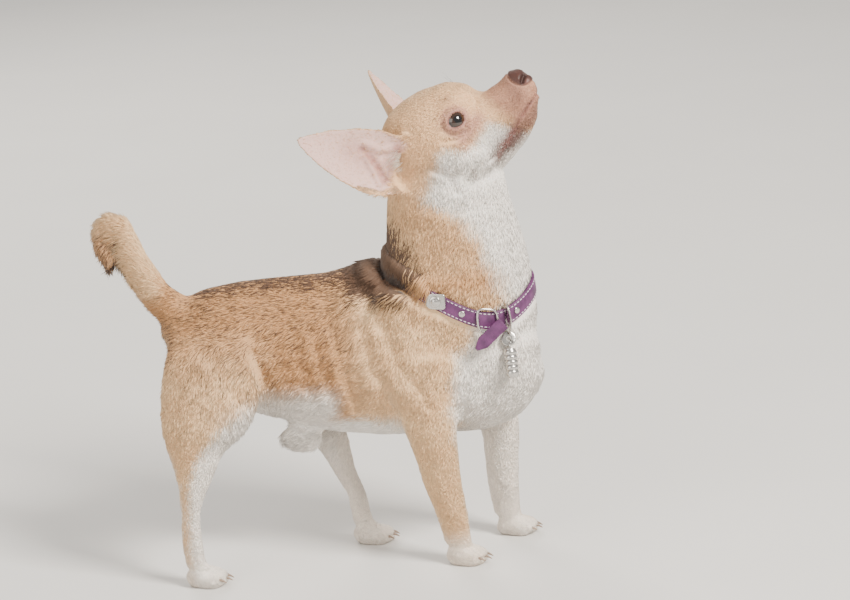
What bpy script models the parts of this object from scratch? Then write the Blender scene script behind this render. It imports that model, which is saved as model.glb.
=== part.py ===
"""A life-size smooth-coated chihuahua standing with its head raised and its tail up, in a leather collar
with a tag. The dog faces +X, its right side towards -Y, on the floor at Z = 0. Sizes are in millimetres."""

import math

import bmesh
import bpy
from mathutils import Matrix, Vector
from mathutils.bvhtree import BVHTree

MM = 0.001
GAP = 0.3
RING_SIDES = 24
RINGS_PER_SPAN = 4
VOXEL = 1.9
SMOOTH_ROUNDS = 5
BODY_TRIANGLES = 1840
BIG = 400.0

# Heights and reach of the whole animal.
WITHERS_HEIGHT = 208.5
BACK_HEIGHT = 204.0
BRISKET_HEIGHT = 85.5
RUMP_X = -186.0
CHEST_X = 66.0

# The head is turned up, a little to the right, and leans to the right.
HEAD_PITCH = math.radians(38.0)
HEAD_YAW = math.radians(-18.0)
HEAD_LEAN = math.radians(8.0)
HEAD_ORIGIN = Vector((0.0, -2.0, 300.0))

EYE_RADIUS = 8.3
EYE_PLACE = (24.0, 17.6, -5.8)

PAW_LENGTH = 26.0
PAW_WIDTH = 19.0
PAW_HEIGHT = 15.0
CLAW_LENGTH = 6.5
CLAW_RADIUS = 1.5

COLLAR_WIDTH = 12.0
COLLAR_THICKNESS = 2.4
COLLAR_SAMPLES = 40
COLLAR_AXIS = (14.0, -3.0)
NECK_RADIUS = 42.0

COAT = (0.56, 0.36, 0.19)
COAT_PALE = (0.80, 0.72, 0.62)
EAR_PINK = (0.72, 0.48, 0.42)
NOSE_BROWN = (0.12, 0.06, 0.05)
EYE_DARK = (0.015, 0.012, 0.010)
CLAW_HORN = (0.45, 0.36, 0.28)
PURPLE = (0.16, 0.035, 0.15)
NICKEL = (0.60, 0.59, 0.57)


def clear_scene():
    for ob in list(bpy.data.objects):
        bpy.data.objects.remove(ob, do_unlink=True)


def material(name, colour, roughness, metallic=0.0):
    mat = bpy.data.materials.new(name)
    mat.use_nodes = True
    shader = mat.node_tree.nodes["Principled BSDF"]
    shader.inputs["Base Color"].default_value = (*colour, 1.0)
    shader.inputs["Roughness"].default_value = roughness
    shader.inputs["Metallic"].default_value = metallic
    return mat


def add_object(name, bm, mat=None):
    """Turns a bmesh in millimetres into a named object in metres."""
    bmesh.ops.scale(bm, vec=(MM, MM, MM), verts=bm.verts)
    bmesh.ops.recalc_face_normals(bm, faces=bm.faces)
    mesh = bpy.data.meshes.new(name)
    bm.to_mesh(mesh)
    bm.free()
    mesh.shade_smooth()
    ob = bpy.data.objects.new(name, mesh)
    bpy.context.collection.objects.link(ob)
    if mat:
        mesh.materials.append(mat)
    return ob


def settle(ob):
    """Replaces an object's mesh by what its modifiers make of it."""
    depsgraph = bpy.context.evaluated_depsgraph_get()
    mesh = bpy.data.meshes.new_from_object(ob.evaluated_get(depsgraph))
    ob.modifiers.clear()
    ob.data = mesh


def combine(ob, other, operation):
    """Joins, cuts or keeps what is common, then drops the other object."""
    mod = ob.modifiers.new("combine", "BOOLEAN")
    mod.operation = operation
    mod.solver = "EXACT"
    mod.object = other
    settle(ob)
    bpy.data.objects.remove(other, do_unlink=True)


def copy_of(ob, name):
    twin = ob.copy()
    twin.data = ob.data.copy()
    twin.name = name
    bpy.context.collection.objects.link(twin)
    return twin


def spline(rows, per_span):
    """Rows of numbers run through a Catmull-Rom curve."""
    out = []
    count = len(rows)
    for i in range(count - 1):
        before = rows[max(i - 1, 0)]
        start = rows[i]
        end = rows[i + 1]
        after = rows[min(i + 2, count - 1)]
        for k in range(per_span):
            t = k / per_span
            out.append(
                [
                    0.5 * (2 * q + (r - p) * t + (2 * p - 5 * q + 4 * r - s) * t**2 + (3 * q - p - 3 * r + s) * t**3)
                    for p, q, r, s in zip(before, start, end, after)
                ]
            )
    out.append(list(rows[-1]))
    return out


def loft(bm, rings):
    """Closes a list of rings of points into one tube with capped ends."""
    loops = [[bm.verts.new(p) for p in ring] for ring in rings]
    sides = len(loops[0])
    for low, high in zip(loops, loops[1:]):
        for k in range(sides):
            bm.faces.new((low[k], low[(k + 1) % sides], high[(k + 1) % sides], high[k]))
    bm.faces.new(list(reversed(loops[0])))
    bm.faces.new(loops[-1])


def tube(bm, stations, side=Vector((0.0, 1.0, 0.0)), sides=RING_SIDES, per_span=RINGS_PER_SPAN, level=False):
    """A limb through stations of x, y, z, half depth and half width; the width lies along the side direction.
    Level rings stay horizontal, as a leg is measured; others stand square to the limb."""
    rows = spline(stations, per_span)
    centres = [Vector(row[:3]) for row in rows]
    rings = []
    for i, row in enumerate(rows):
        ahead = centres[min(i + 1, len(rows) - 1)] - centres[max(i - 1, 0)]
        if level:
            ahead = Vector((0.0, 0.0, -1.0))
        across = (side - ahead * side.dot(ahead) / ahead.length_squared).normalized()
        deep = ahead.cross(across).normalized()
        ring = []
        for k in range(sides):
            angle = 2 * math.pi * k / sides
            ring.append(centres[i] + deep * (row[3] * math.cos(angle)) + across * (row[4] * math.sin(angle)))
        rings.append(ring)
    loft(bm, rings)


def ellipsoid(bm, centre, radii, turn=None, segments=20):
    matrix = Matrix.Translation(centre)
    if turn:
        matrix = matrix @ turn.to_4x4()
    matrix = matrix @ Matrix.Diagonal((*radii, 1.0))
    bmesh.ops.create_uvsphere(bm, u_segments=segments, v_segments=segments // 2, radius=1.0, matrix=matrix)


def head_frame():
    """Columns are forward, left and up of the head."""
    turn = Matrix.Rotation(HEAD_YAW, 3, "Z") @ Matrix.Rotation(-HEAD_PITCH, 3, "Y") @ Matrix.Rotation(HEAD_LEAN, 3, "X")
    return turn


HEAD_TURN = head_frame()


def on_head(forward, left, up):
    return HEAD_ORIGIN + HEAD_TURN @ Vector((forward, left, up))


# Trunk: x, y of the middle, height of the top, height of the underside, half width.
TRUNK = [
    (RUMP_X, -4, 172, 146, 9),
    (-182, -3, 184, 136, 17),
    (-172, -2, 193, 128, 23),
    (-158, 0, 200, 121, 27),
    (-140, 2, 203, 114, 29),
    (-117, 4, BACK_HEIGHT, 106, 29.5),
    (-95, 5, BACK_HEIGHT, 99, 32),
    (-70, 6, 206, 90, 36),
    (-44, 6, WITHERS_HEIGHT, BRISKET_HEIGHT + 0.5, 38.5),
    (-20, 5, 206, BRISKET_HEIGHT, 39),
    (5, 1, 198, BRISKET_HEIGHT, 38),
    (28, -4, 190, 89, 35),
    (46, -8, 183, 107, 29.5),
    (57, -11, 172, 131, 19),
    (CHEST_X - 2, -12, 162, 147, 8),
]

# Neck: x, y, z, half depth, half width.
NECK = [
    (22, -2, 135, 42, 34),
    (18, -2, 160, 49, 36),
    (15, -2, 185, 50.5, 35.5),
    (13.5, -2, 208, 49, 33.5),
    (12, -3, 228, 46, 31.5),
    (10.5, -3, 248, 42.6, 30),
    (10, -3, 264, 40, 29),
    (8, -3, 280, 36, 27),
    (4, -3, 294, 26, 20),
]

# Head: forward place, height of the top, height of the underside, half width.
HEAD = [
    (-42, 4, -24, 12),
    (-36, 12, -33, 20),
    (-25, 20, -42, 27),
    (-12, 25.0, -47, 31),
    (2, 24.8, -50, 31.5),
    (13, 20.8, -53, 28),
    (22, 14, -54.5, 23),
    (30, 6, -54.5, 18.5),
    (37, 0.5, -52.5, 16.3),
    (43, -3.5, -50, 15),
    (50, -4.3, -47, 14),
    (57, -4.8, -42.5, 12.8),
    (63.5, -5.0, -36.5, 11.2),
    (69, -4.8, -30, 9.4),
    (74, -5.6, -26, 7.4),
    (77.5, -8.8, -21, 4),
]

# Tail: x, y, z, radius.
TAIL = [
    (-166, 0, 174, 13),
    (-178, 0, 184, 13.5),
    (-190.5, 1, 196, 11.8),
    (-202.5, 2, 217.5, 10.8),
    (-208.5, 3, 232, 10.4),
    (-215, 4, 244.5, 11.2),
    (-221.5, 4, 243.5, 10),
    (-223.5, 4, 232, 8),
    (-221.5, 3, 219, 4.3),
    (-220.5, 3, 213.5, 1.5),
]

# Legs: x, y, z, half depth and half width, from the shoulder or hip down to the pastern.
FORE_RIGHT = [
    (-18, -28, 150, 25, 13),
    (-16, -32, 125, 23, 12.5),
    (-12, -33, 98, 18.8, 11.5),
    (-9, -31.5, 78, 15.6, 10),
    (-6.5, -30, 59, 13.6, 9),
    (-2, -28.5, 39, 11.2, 8.3),
    (-0.2, -27.3, 28, 10.3, 8.2),
    (1.5, -27, 15, 9.3, 8),
]
FORE_LEFT = [
    (22, 23, 150, 25, 13),
    (27, 26, 125, 23, 12.5),
    (33, 27, 100, 17.5, 11.5),
    (36.5, 26.5, 76, 14.2, 10),
    (36, 27, 58, 12.6, 9),
    (36, 27.5, 39, 11.2, 8.3),
    (36.5, 28, 28, 10.3, 8.2),
    (37.5, 28, 15, 9.3, 8),
]
HIND_RIGHT = [
    (-155, -18, 172, 29, 14),
    (-157.5, -26, 150, 33, 15.5),
    (-159.5, -31, 128, 34.5, 15),
    (-164, -34, 110, 30, 13.5),
    (-171, -34.5, 94, 20.5, 11),
    (-174, -35, 75, 13, 9.3),
    (-177.8, -35, 57, 7.7, 7.2),
    (-179.6, -35.5, 38, 6.9, 6.3),
    (-178.6, -36, 15, 7, 6.8),
]
HIND_LEFT = [
    (-142, 16, 172, 29, 14),
    (-134, 24, 148, 33, 15),
    (-122, 29, 126, 31, 14.5),
    (-104, 31, 108, 25, 13),
    (-90, 31, 92, 18, 11),
    (-82, 31, 76, 13.5, 9.3),
    (-74.5, 30, 56, 8.3, 7.4),
    (-67, 30, 37, 6.7, 6.3),
    (-64, 30, 15, 7, 6.8),
]

# Paws: x and y of the middle, and the direction the toes point, in degrees.
PAWS = {
    "fore_right": (6.0, -27.0, -12.0),
    "fore_left": (43.0, 28.0, -4.0),
    "hind_right": (-172.0, -36.0, -6.0),
    "hind_left": (-57.5, 30.0, -2.0),
}
TOE_SPREAD = (-7.2, -2.6, 2.6, 7.2)
TOE_REACH = (4.5, 8.0, 8.0, 4.5)
TOE_RADII = (8.0, 4.3, 6.0)


def paw_point(name, ahead, left, up):
    x, y, heading = PAWS[name]
    angle = math.radians(heading)
    return Vector(
        (
            x + ahead * math.cos(angle) - left * math.sin(angle),
            y + ahead * math.sin(angle) + left * math.cos(angle),
            up,
        )
    )


def claw_root(name, toe):
    return paw_point(name, TOE_REACH[toe] + 6.6, TOE_SPREAD[toe] * 1.08, 6.0)


def add_claw(bm, name, toe, grow):
    """One claw, a short tapered horn that curves down and forward out of its toe."""
    angle = math.radians(PAWS[name][2])
    ahead = Vector((math.cos(angle), math.sin(angle), 0.0))
    root = claw_root(name, toe)
    rows = []
    for k in range(4):
        t = k / 3
        place = root + ahead * (CLAW_LENGTH * (t - 0.35)) + Vector((0, 0, -3.2 * t**2 + 0.8 * t))
        radius = CLAW_RADIUS * (1 - 0.78 * t**1.5) + grow
        rows.append((*place, radius, radius * 0.85))
    tube(bm, rows, side=Vector((-ahead.y, ahead.x, 0.0)), sides=5, per_span=1)


def add_trunk(bm):
    rows = [(x, y, (top + low) / 2, (top - low) / 2, wide) for x, y, top, low, wide in TRUNK]
    tube(bm, rows)


def add_neck(bm):
    tube(bm, NECK)


def add_head(bm):
    rows = [(*on_head(a, 0, (top + low) / 2), (top - low) / 2, wide) for a, top, low, wide in HEAD]
    tube(bm, rows, side=HEAD_TURN.col[1])
    for side in (-1, 1):
        ellipsoid(bm, on_head(2, side * 19, -23), (22, 13, 17), HEAD_TURN)
        ellipsoid(bm, on_head(8, side * 14, -36), (22, 12, 13), HEAD_TURN)
        ellipsoid(bm, on_head(23, side * 13, 2.0), (8, 7.5, 7), HEAD_TURN)
        ellipsoid(bm, on_head(47, side * 7.2, -30.5), (18, 7.2, 9), HEAD_TURN)
    ellipsoid(bm, on_head(55, 0, -37.5), (8.5, 8.5, 6), HEAD_TURN)


def add_tail(bm):
    tube(bm, [(x, y, z, radius, radius * 0.92) for x, y, z, radius in TAIL])


def add_shoulders(bm):
    """Shoulder blades and upper arms, which lie on the ribs."""
    lean = Matrix.Rotation(math.radians(-14), 3, "Y")
    ellipsoid(bm, (-26, -28, 156), (26, 11, 42), lean)
    ellipsoid(bm, (2, 28, 154), (26, 11, 42), lean)
    ellipsoid(bm, (-20, -18, 178), (32, 19, 20))
    ellipsoid(bm, (-12, 16, 178), (32, 19, 20))
    ellipsoid(bm, (8, -30, 132), (22, 10, 24))
    ellipsoid(bm, (44, 16, 132), (18, 12, 24))


def add_sheath(bm):
    """A fold of skin and white hair under the belly."""
    ellipsoid(bm, (-101, 3, 88), (17, 6.5, 11), Matrix.Rotation(math.radians(14), 3, "Y"))


def add_hocks(bm):
    """The heel bone stands out behind each hock."""
    ellipsoid(bm, (-182.5, -35, 60), (4.2, 4.6, 8), Matrix.Rotation(math.radians(-12), 3, "Y"))
    ellipsoid(bm, (-79.5, 30, 56), (4.2, 4.6, 8), Matrix.Rotation(math.radians(-30), 3, "Y"))


def add_paw(bm, name):
    turn = Matrix.Rotation(math.radians(PAWS[name][2]), 3, "Z")
    ellipsoid(bm, paw_point(name, -3, 0, 6.5), (PAW_LENGTH * 0.42, PAW_WIDTH * 0.5, PAW_HEIGHT * 0.6), turn)
    for spread, reach in zip(TOE_SPREAD, TOE_REACH):
        ellipsoid(bm, paw_point(name, reach, spread, 5.0), TOE_RADII, turn, segments=14)


def make_body(mat):
    """The whole animal but its ears, as one smooth closed body with flats under its paws."""
    bm = bmesh.new()
    add_trunk(bm)
    add_neck(bm)
    add_head(bm)
    add_tail(bm)
    for leg in (FORE_RIGHT, FORE_LEFT, HIND_RIGHT, HIND_LEFT):
        tube(bm, leg, level=True)
    add_shoulders(bm)
    add_sheath(bm)
    add_hocks(bm)
    for name in PAWS:
        add_paw(bm, name)
    body = add_object("body", bm, mat)
    remesh = body.modifiers.new("remesh", "REMESH")
    remesh.mode = "VOXEL"
    remesh.voxel_size = VOXEL * MM
    relax = body.modifiers.new("relax", "SMOOTH")
    relax.factor = 0.5
    relax.iterations = SMOOTH_ROUNDS
    settle(body)
    thin = body.modifiers.new("thin", "DECIMATE")
    thin.ratio = BODY_TRIANGLES / (2.0 * len(body.data.polygons))
    settle(body)
    combine(body, box("floor_cut", (-60, 0, -BIG / 2), (BIG * 2, BIG, BIG)), "DIFFERENCE")
    return body


def box(name, centre, size, turn=None):
    bm = bmesh.new()
    matrix = Matrix.Translation(centre)
    if turn:
        matrix = matrix @ turn.to_4x4()
    bmesh.ops.create_cube(bm, size=1.0, matrix=matrix @ Matrix.Diagonal((*size, 1.0)))
    return add_object(name, bm)


EAR_ROOT = (-24.0, 25.0, -6.0)
EAR_TIP_RIGHT = (-46.0, 69.0, 58.0)
EAR_TIP_LEFT = (-33.0, 77.0, 48.5)
EAR_FACE_RIGHT = (0.5, 0.8, -0.3)
EAR_FACE_LEFT = (0.99, 0.1, 0.07)
EAR_CUP_LEFT = 1.8
EAR_COLUMNS = 9
EAR_THICK = 2.2
EAR_RIM = 1.1
EAR_PLANE = 0.17
# Ear: place along its length, half width, how far the rims curl forward.
EAR_OUTLINE = [
    (-0.14, 13, 9),
    (0.0, 18, 10),
    (0.14, 22, 9),
    (0.32, 22.5, 7),
    (0.52, 19, 5),
    (0.72, 13.5, 3),
    (0.88, 7.5, 1.5),
    (0.97, 3.2, 0.6),
    (1.0, 1.2, 0.2),
]


def ear_axes(side):
    """Root, length, face and width directions of one ear, in the head's own frame."""
    tip = Vector(EAR_TIP_RIGHT if side < 0 else EAR_TIP_LEFT)
    tip.y *= side
    root = Vector((EAR_ROOT[0], EAR_ROOT[1] * side, EAR_ROOT[2]))
    along = tip - root
    face = Vector(EAR_FACE_RIGHT if side < 0 else EAR_FACE_LEFT)
    face.y *= side
    face = (face - along * face.dot(along) / along.length_squared).normalized()
    across = along.cross(face).normalized() * side
    return root, along, face, across


def make_ear(name, side):
    """A cupped leaf: a front and a back sheet that meet at the rim."""
    root, along, face, across = ear_axes(side)
    cup = 1.0 if side < 0 else EAR_CUP_LEFT
    bm = bmesh.new()
    sheets = []
    outline = EAR_OUTLINE
    for direction in (1, -1):
        sheet = []
        for place, half, curl in outline:
            row = []
            for k in range(EAR_COLUMNS):
                v = 2 * k / (EAR_COLUMNS - 1) - 1
                half_thick = (EAR_RIM + (EAR_THICK - EAR_RIM) * (1 - v * v)) / 2
                depth = curl * cup * (v * v - 0.35) + direction * half_thick
                point = root + along * place + across * (half * v) + face * depth
                row.append(bm.verts.new(on_head(*point)))
            sheet.append(row)
        sheets.append(sheet)
    front, rear = sheets
    last = EAR_COLUMNS - 1
    for low in range(len(outline) - 1):
        high = low + 1
        for k in range(last):
            bm.faces.new((front[low][k], front[low][k + 1], front[high][k + 1], front[high][k]))
            bm.faces.new((rear[low][k], rear[high][k], rear[high][k + 1], rear[low][k + 1]))
        bm.faces.new((front[low][0], front[high][0], rear[high][0], rear[low][0]))
        bm.faces.new((front[low][last], rear[low][last], rear[high][last], front[high][last]))
    for k in range(last):
        bm.faces.new((front[0][k], rear[0][k], rear[0][k + 1], front[0][k + 1]))
        bm.faces.new((front[-1][k], front[-1][k + 1], rear[-1][k + 1], rear[-1][k]))
    return add_object(name, bm)


def body_tree(body):
    bm = bmesh.new()
    bm.from_mesh(body.data)
    bmesh.ops.scale(bm, vec=(1 / MM, 1 / MM, 1 / MM), verts=bm.verts)
    tree = BVHTree.FromBMesh(bm)
    bm.free()
    return tree


def neck_tree():
    """The neck alone, without the withers behind it."""
    bm = bmesh.new()
    add_neck(bm)
    bmesh.ops.recalc_face_normals(bm, faces=bm.faces)
    tree = BVHTree.FromBMesh(bm)
    bm.free()
    return tree


# Collar: angle round the neck from the front towards the right side, height of the strap's middle, stand-off.
COLLAR_ROUTE = [
    (0, 189, 1.9),
    (14, 185.5, 1.6),
    (49, 170.5, 0.8),
    (81, 177.0, 0.6),
    (125, 192, -0.4),
    (188, 212, 0.4),
    (235, 210, 0.4),
    (275, 201, 0.4),
    (316, 194, 1.4),
]
NAPE_ANGLES = (116, 244)


def collar_height(angle):
    """Height and stand-off of the strap at an angle in degrees."""
    route = COLLAR_ROUTE
    count = len(route)
    spans = [(route[(i + 1) % count][0] - route[i][0]) % 360 for i in range(count)]
    angle %= 360
    start = 0.0
    for i in range(count):
        if angle < start + spans[i] or i == count - 1:
            t = (angle - start) / spans[i]
            rows = [route[(i - 1) % count], route[i], route[(i + 1) % count], route[(i + 2) % count]]
            return [
                0.5 * (2 * q + (r - p) * t + (2 * p - 5 * q + 4 * r - s) * t**2 + (3 * q - p - 3 * r + s) * t**3)
                for p, q, r, s in zip(*[row[1:] for row in rows])
            ]
        start += spans[i]


def neck_surface(tree, nape, angle, height):
    """The coat's surface at an angle round the neck's axis; behind, the neck runs on down into the withers."""
    turn = math.radians(angle)
    outward = Vector((math.cos(turn), -math.sin(turn), 0.0))
    start = Vector((*COLLAR_AXIS, height)) + outward * 120
    if NAPE_ANGLES[0] < angle < NAPE_ANGLES[1]:
        tree = nape
    return tree.ray_cast(start, -outward)[0]


def collar_edges(tree):
    """Lower and upper edge of the strap's inner face, smoothed round the neck."""
    nape = neck_tree()
    edges = []
    for lift in (-COLLAR_WIDTH / 2, COLLAR_WIDTH / 2):
        edge = []
        for i in range(COLLAR_SAMPLES):
            angle = 360.0 * i / COLLAR_SAMPLES
            height, _ = collar_height(angle)
            edge.append(neck_surface(tree, nape, angle, height + lift * 0.97))
        for _ in range(6):
            edge = [(edge[i - 1] + edge[i] * 2 + edge[(i + 1) % len(edge)]) / 4 for i in range(len(edge))]
        edges.append(edge)
    return edges


class Collar:
    """The strap's path: places, directions and the surface that its fittings sit on."""

    def __init__(self, tree):
        low, high = collar_edges(tree)
        self.centres = []
        self.ups = []
        for i in range(COLLAR_SAMPLES):
            up = (high[i] - low[i]).normalized()
            self.ups.append(up)
            self.centres.append((low[i] + high[i]) / 2)
        self.outs = []
        for i in range(COLLAR_SAMPLES):
            along = self.centres[(i + 1) % COLLAR_SAMPLES] - self.centres[i - 1]
            self.outs.append(self.ups[i].cross(along).normalized())
        for i in range(COLLAR_SAMPLES):
            stand_off = collar_height(360.0 * i / COLLAR_SAMPLES)[1]
            self.centres[i] = self.centres[i] + self.outs[i] * (stand_off + COLLAR_THICKNESS / 2)

    def at(self, angle):
        """Middle of the strap, direction round the neck, outward and up, at an angle in degrees."""
        place = (angle % 360) / 360 * COLLAR_SAMPLES
        i = int(place) % COLLAR_SAMPLES
        j = (i + 1) % COLLAR_SAMPLES
        t = place - int(place)
        centre = self.centres[i].lerp(self.centres[j], t)
        out = self.outs[i].lerp(self.outs[j], t).normalized()
        up = self.ups[i].lerp(self.ups[j], t).normalized()
        return centre, out.cross(up).normalized(), out, up


def make_strap(collar, name, grow=0.0, mat=None):
    """The leather band as a closed loop."""
    half_width = COLLAR_WIDTH / 2 + grow
    half_thick = COLLAR_THICKNESS / 2 + grow
    section = [
        (-half_width, -half_thick),
        (half_width, -half_thick),
        (half_width, half_thick),
        (-half_width, half_thick),
    ]
    bm = bmesh.new()
    rings = []
    for i in range(COLLAR_SAMPLES):
        rings.append([bm.verts.new(collar.centres[i] + collar.ups[i] * w + collar.outs[i] * d) for w, d in section])
    for i in range(COLLAR_SAMPLES):
        near, far = rings[i], rings[(i + 1) % COLLAR_SAMPLES]
        for k in range(len(section)):
            j = (k + 1) % len(section)
            bm.faces.new((near[k], near[j], far[j]))
            bm.faces.new((near[k], far[j], far[k]))
    return add_object(name, bm, mat)


def closed_wire(name, points, radius, mat, sides=6):
    """A wire bent into a closed ring through the points."""
    bm = bmesh.new()
    count = len(points)
    centre = sum(points, Vector()) / count
    loops = []
    for i, point in enumerate(points):
        along = (points[(i + 1) % count] - points[i - 1]).normalized()
        out = point - centre
        out = (out - along * out.dot(along)).normalized()
        side = along.cross(out)
        loops.append(
            [
                bm.verts.new(
                    point + (out * math.cos(2 * math.pi * k / sides) + side * math.sin(2 * math.pi * k / sides)) * radius
                )
                for k in range(sides)
            ]
        )
    for i in range(count):
        for k in range(sides):
            j = (k + 1) % sides
            bm.faces.new((loops[i][k], loops[i][j], loops[(i + 1) % count][j], loops[(i + 1) % count][k]))
    return add_object(name, bm, mat)


def turned(name, profile, base, axis, mat, sides=12):
    """A round piece turned about an axis from its profile of heights and radii."""
    axis = axis.normalized()
    across = axis.orthogonal().normalized()
    other = axis.cross(across)
    rings = []
    for height, radius in profile:
        rings.append(
            [
                base
                + axis * height
                + (across * math.cos(2 * math.pi * k / sides) + other * math.sin(2 * math.pi * k / sides)) * radius
                for k in range(sides)
            ]
        )
    bm = bmesh.new()
    loft(bm, rings)
    return add_object(name, bm, mat)


PLATE_ANGLE = 117.0
PLATE_SIZE = (14.0, 10.6, 0.8)
RIVET_PROFILE = [(0.3, 3.9), (0.8, 3.7), (1.0, 3.0), (1.1, 2.6), (1.8, 1.9), (2.1, 0.7)]
EYELET_PROFILE = [(0.3, 2.3), (0.7, 2.0), (0.8, 1.2)]
EYELET_ANGLES = (90.0, 35.0)
BUCKLE_ANGLE = 65.0
BUCKLE_REACH = 7.2
BUCKLE_RISE = 8.2
BUCKLE_WIRE = 0.9
OBLONG = 0.6
STRAP_END_ANGLE = 52.0
STRAP_END_LENGTH = 25.0
STRAP_END_WIDTH = 9.0
STRAP_END_THICK = 2.0
STRAP_END_STAND_OUT = 6.0
STRAP_END_LIFT = 5.0
RING_ANGLE = 46.0
RING_RISE = 10.8
RING_REACH = 5.6
RING_LIFT = 1.6
RING_DROP = 1.6
RING_WIRE = 0.9
TAG_RING_RADIUS = 4.6
TAG_RING_WIRE = 0.7
TAG_LOOP_RADIUS = 2.0
TAG_LOOP_WIRE = 0.6
TAG_RADIUS = 4.5
TAG_LEAN = (0.1, -1.0, 0.0)
TAG_LENGTH = 20.0
TAG_RIDGES = 5
LINK_PLAY = 0.5


def make_fittings(body, collar, tree, nickel, leather):
    """Plate and rivet, eyelets, buckle, free end of the strap, and the ring that carries the tag."""
    centre, along, out, up = collar.at(PLATE_ANGLE)
    face = centre + out * (COLLAR_THICKNESS / 2 + GAP)
    long, wide, thick = PLATE_SIZE
    turn = Matrix((along, up, out)).transposed()
    plate = box("collar_plate", face + out * (thick / 2 + 0.5), (long, wide, thick), turn)
    plate.data.materials.append(nickel)
    turned("collar_rivet", RIVET_PROFILE, face + out * (thick + 0.5), out, nickel)
    for i, angle in enumerate(EYELET_ANGLES):
        centre, along, out, up = collar.at(angle)
        turned(f"collar_eyelet_{i + 1}", EYELET_PROFILE, centre + out * (COLLAR_THICKNESS / 2), out, nickel)
    make_buckle(collar, nickel)
    make_strap_end(collar, tree, leather)
    make_ring_and_tag(body, collar, tree, nickel)


def make_buckle(collar, nickel):
    """An oblong wire frame that lies on the strap and stands over its edges."""
    points = []
    degrees_per_mm = 360.0 / (2 * math.pi * NECK_RADIUS)
    flat = ring_points(Vector(), Vector((1, 0, 0)), Vector((0, 1, 0)), BUCKLE_REACH, BUCKLE_RISE, 20, OBLONG)
    for reach, rise, _ in flat:
        centre, along, out, up = collar.at(BUCKLE_ANGLE + reach * degrees_per_mm)
        points.append(centre + up * rise + out * (COLLAR_THICKNESS / 2 + BUCKLE_WIRE + 2 * GAP))
    closed_wire("collar_buckle", points, BUCKLE_WIRE, nickel)


def make_strap_end(collar, tree, leather):
    """The strap's free end comes out of the buckle and hangs back over the shoulder, cut to a point."""
    centre, along, out, up = collar.at(STRAP_END_ANGLE)
    start = centre + out * (COLLAR_THICKNESS / 2 + STRAP_END_LIFT) - up * 1.5
    direction = Vector((-0.78, 0.0, -0.62))
    bm = bmesh.new()
    rings = []
    steps = 8
    for i in range(steps + 1):
        t = i / steps
        place = start + direction * (STRAP_END_LENGTH * t)
        skin = tree.ray_cast(Vector((place.x, -150.0, place.z)), Vector((0, 1, 0)))[0]
        outer = min(place.y, skin.y - 1.6) if skin else place.y
        place.y = min(start.y - STRAP_END_STAND_OUT * t, outer - STRAP_END_THICK / 2)
        half = STRAP_END_WIDTH / 2 * min(1.0, 0.25 + (1 - t) * 3.2)
        wide = Vector((-0.62, 0.0, 0.78))
        deep = Vector((0, 1, 0))
        half_thick = STRAP_END_THICK / 2
        rings.append(
            [
                place - wide * half - deep * half_thick,
                place + wide * half - deep * half_thick,
                place + wide * half + deep * half_thick,
                place - wide * half + deep * half_thick,
            ]
        )
    loft(bm, rings)
    return add_object("collar_strap_end", bm, leather)


def ring_points(centre, first, second, radius_first, radius_second, steps, squareness=1.0):
    """Points round a circle or an oblong; a squareness under 1 flattens its sides."""
    points = []
    for i in range(steps):
        turn = 2 * math.pi * i / steps
        reach = math.copysign(abs(math.cos(turn)) ** squareness, math.cos(turn))
        rise = math.copysign(abs(math.sin(turn)) ** squareness, math.sin(turn))
        points.append(centre + first * (radius_first * reach) + second * (radius_second * rise))
    return points


def hang_direction(tree, foot, out, length):
    """Straight down, or leaned outward as far as a tag of that length needs to lie on the chest."""
    lean = 0.0
    for i in range(1, 7):
        drop = length * i / 6
        level = foot + Vector((0, 0, -drop))
        skin = tree.ray_cast(level + out * 100, -out)[0]
        if skin:
            proud = (skin - level).dot(out) + TAG_RADIUS + 1.5
            lean = max(lean, proud / drop) if drop > TAG_RADIUS * 2 else lean
    return (out * lean + Vector((0, 0, -1))).normalized()


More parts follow.
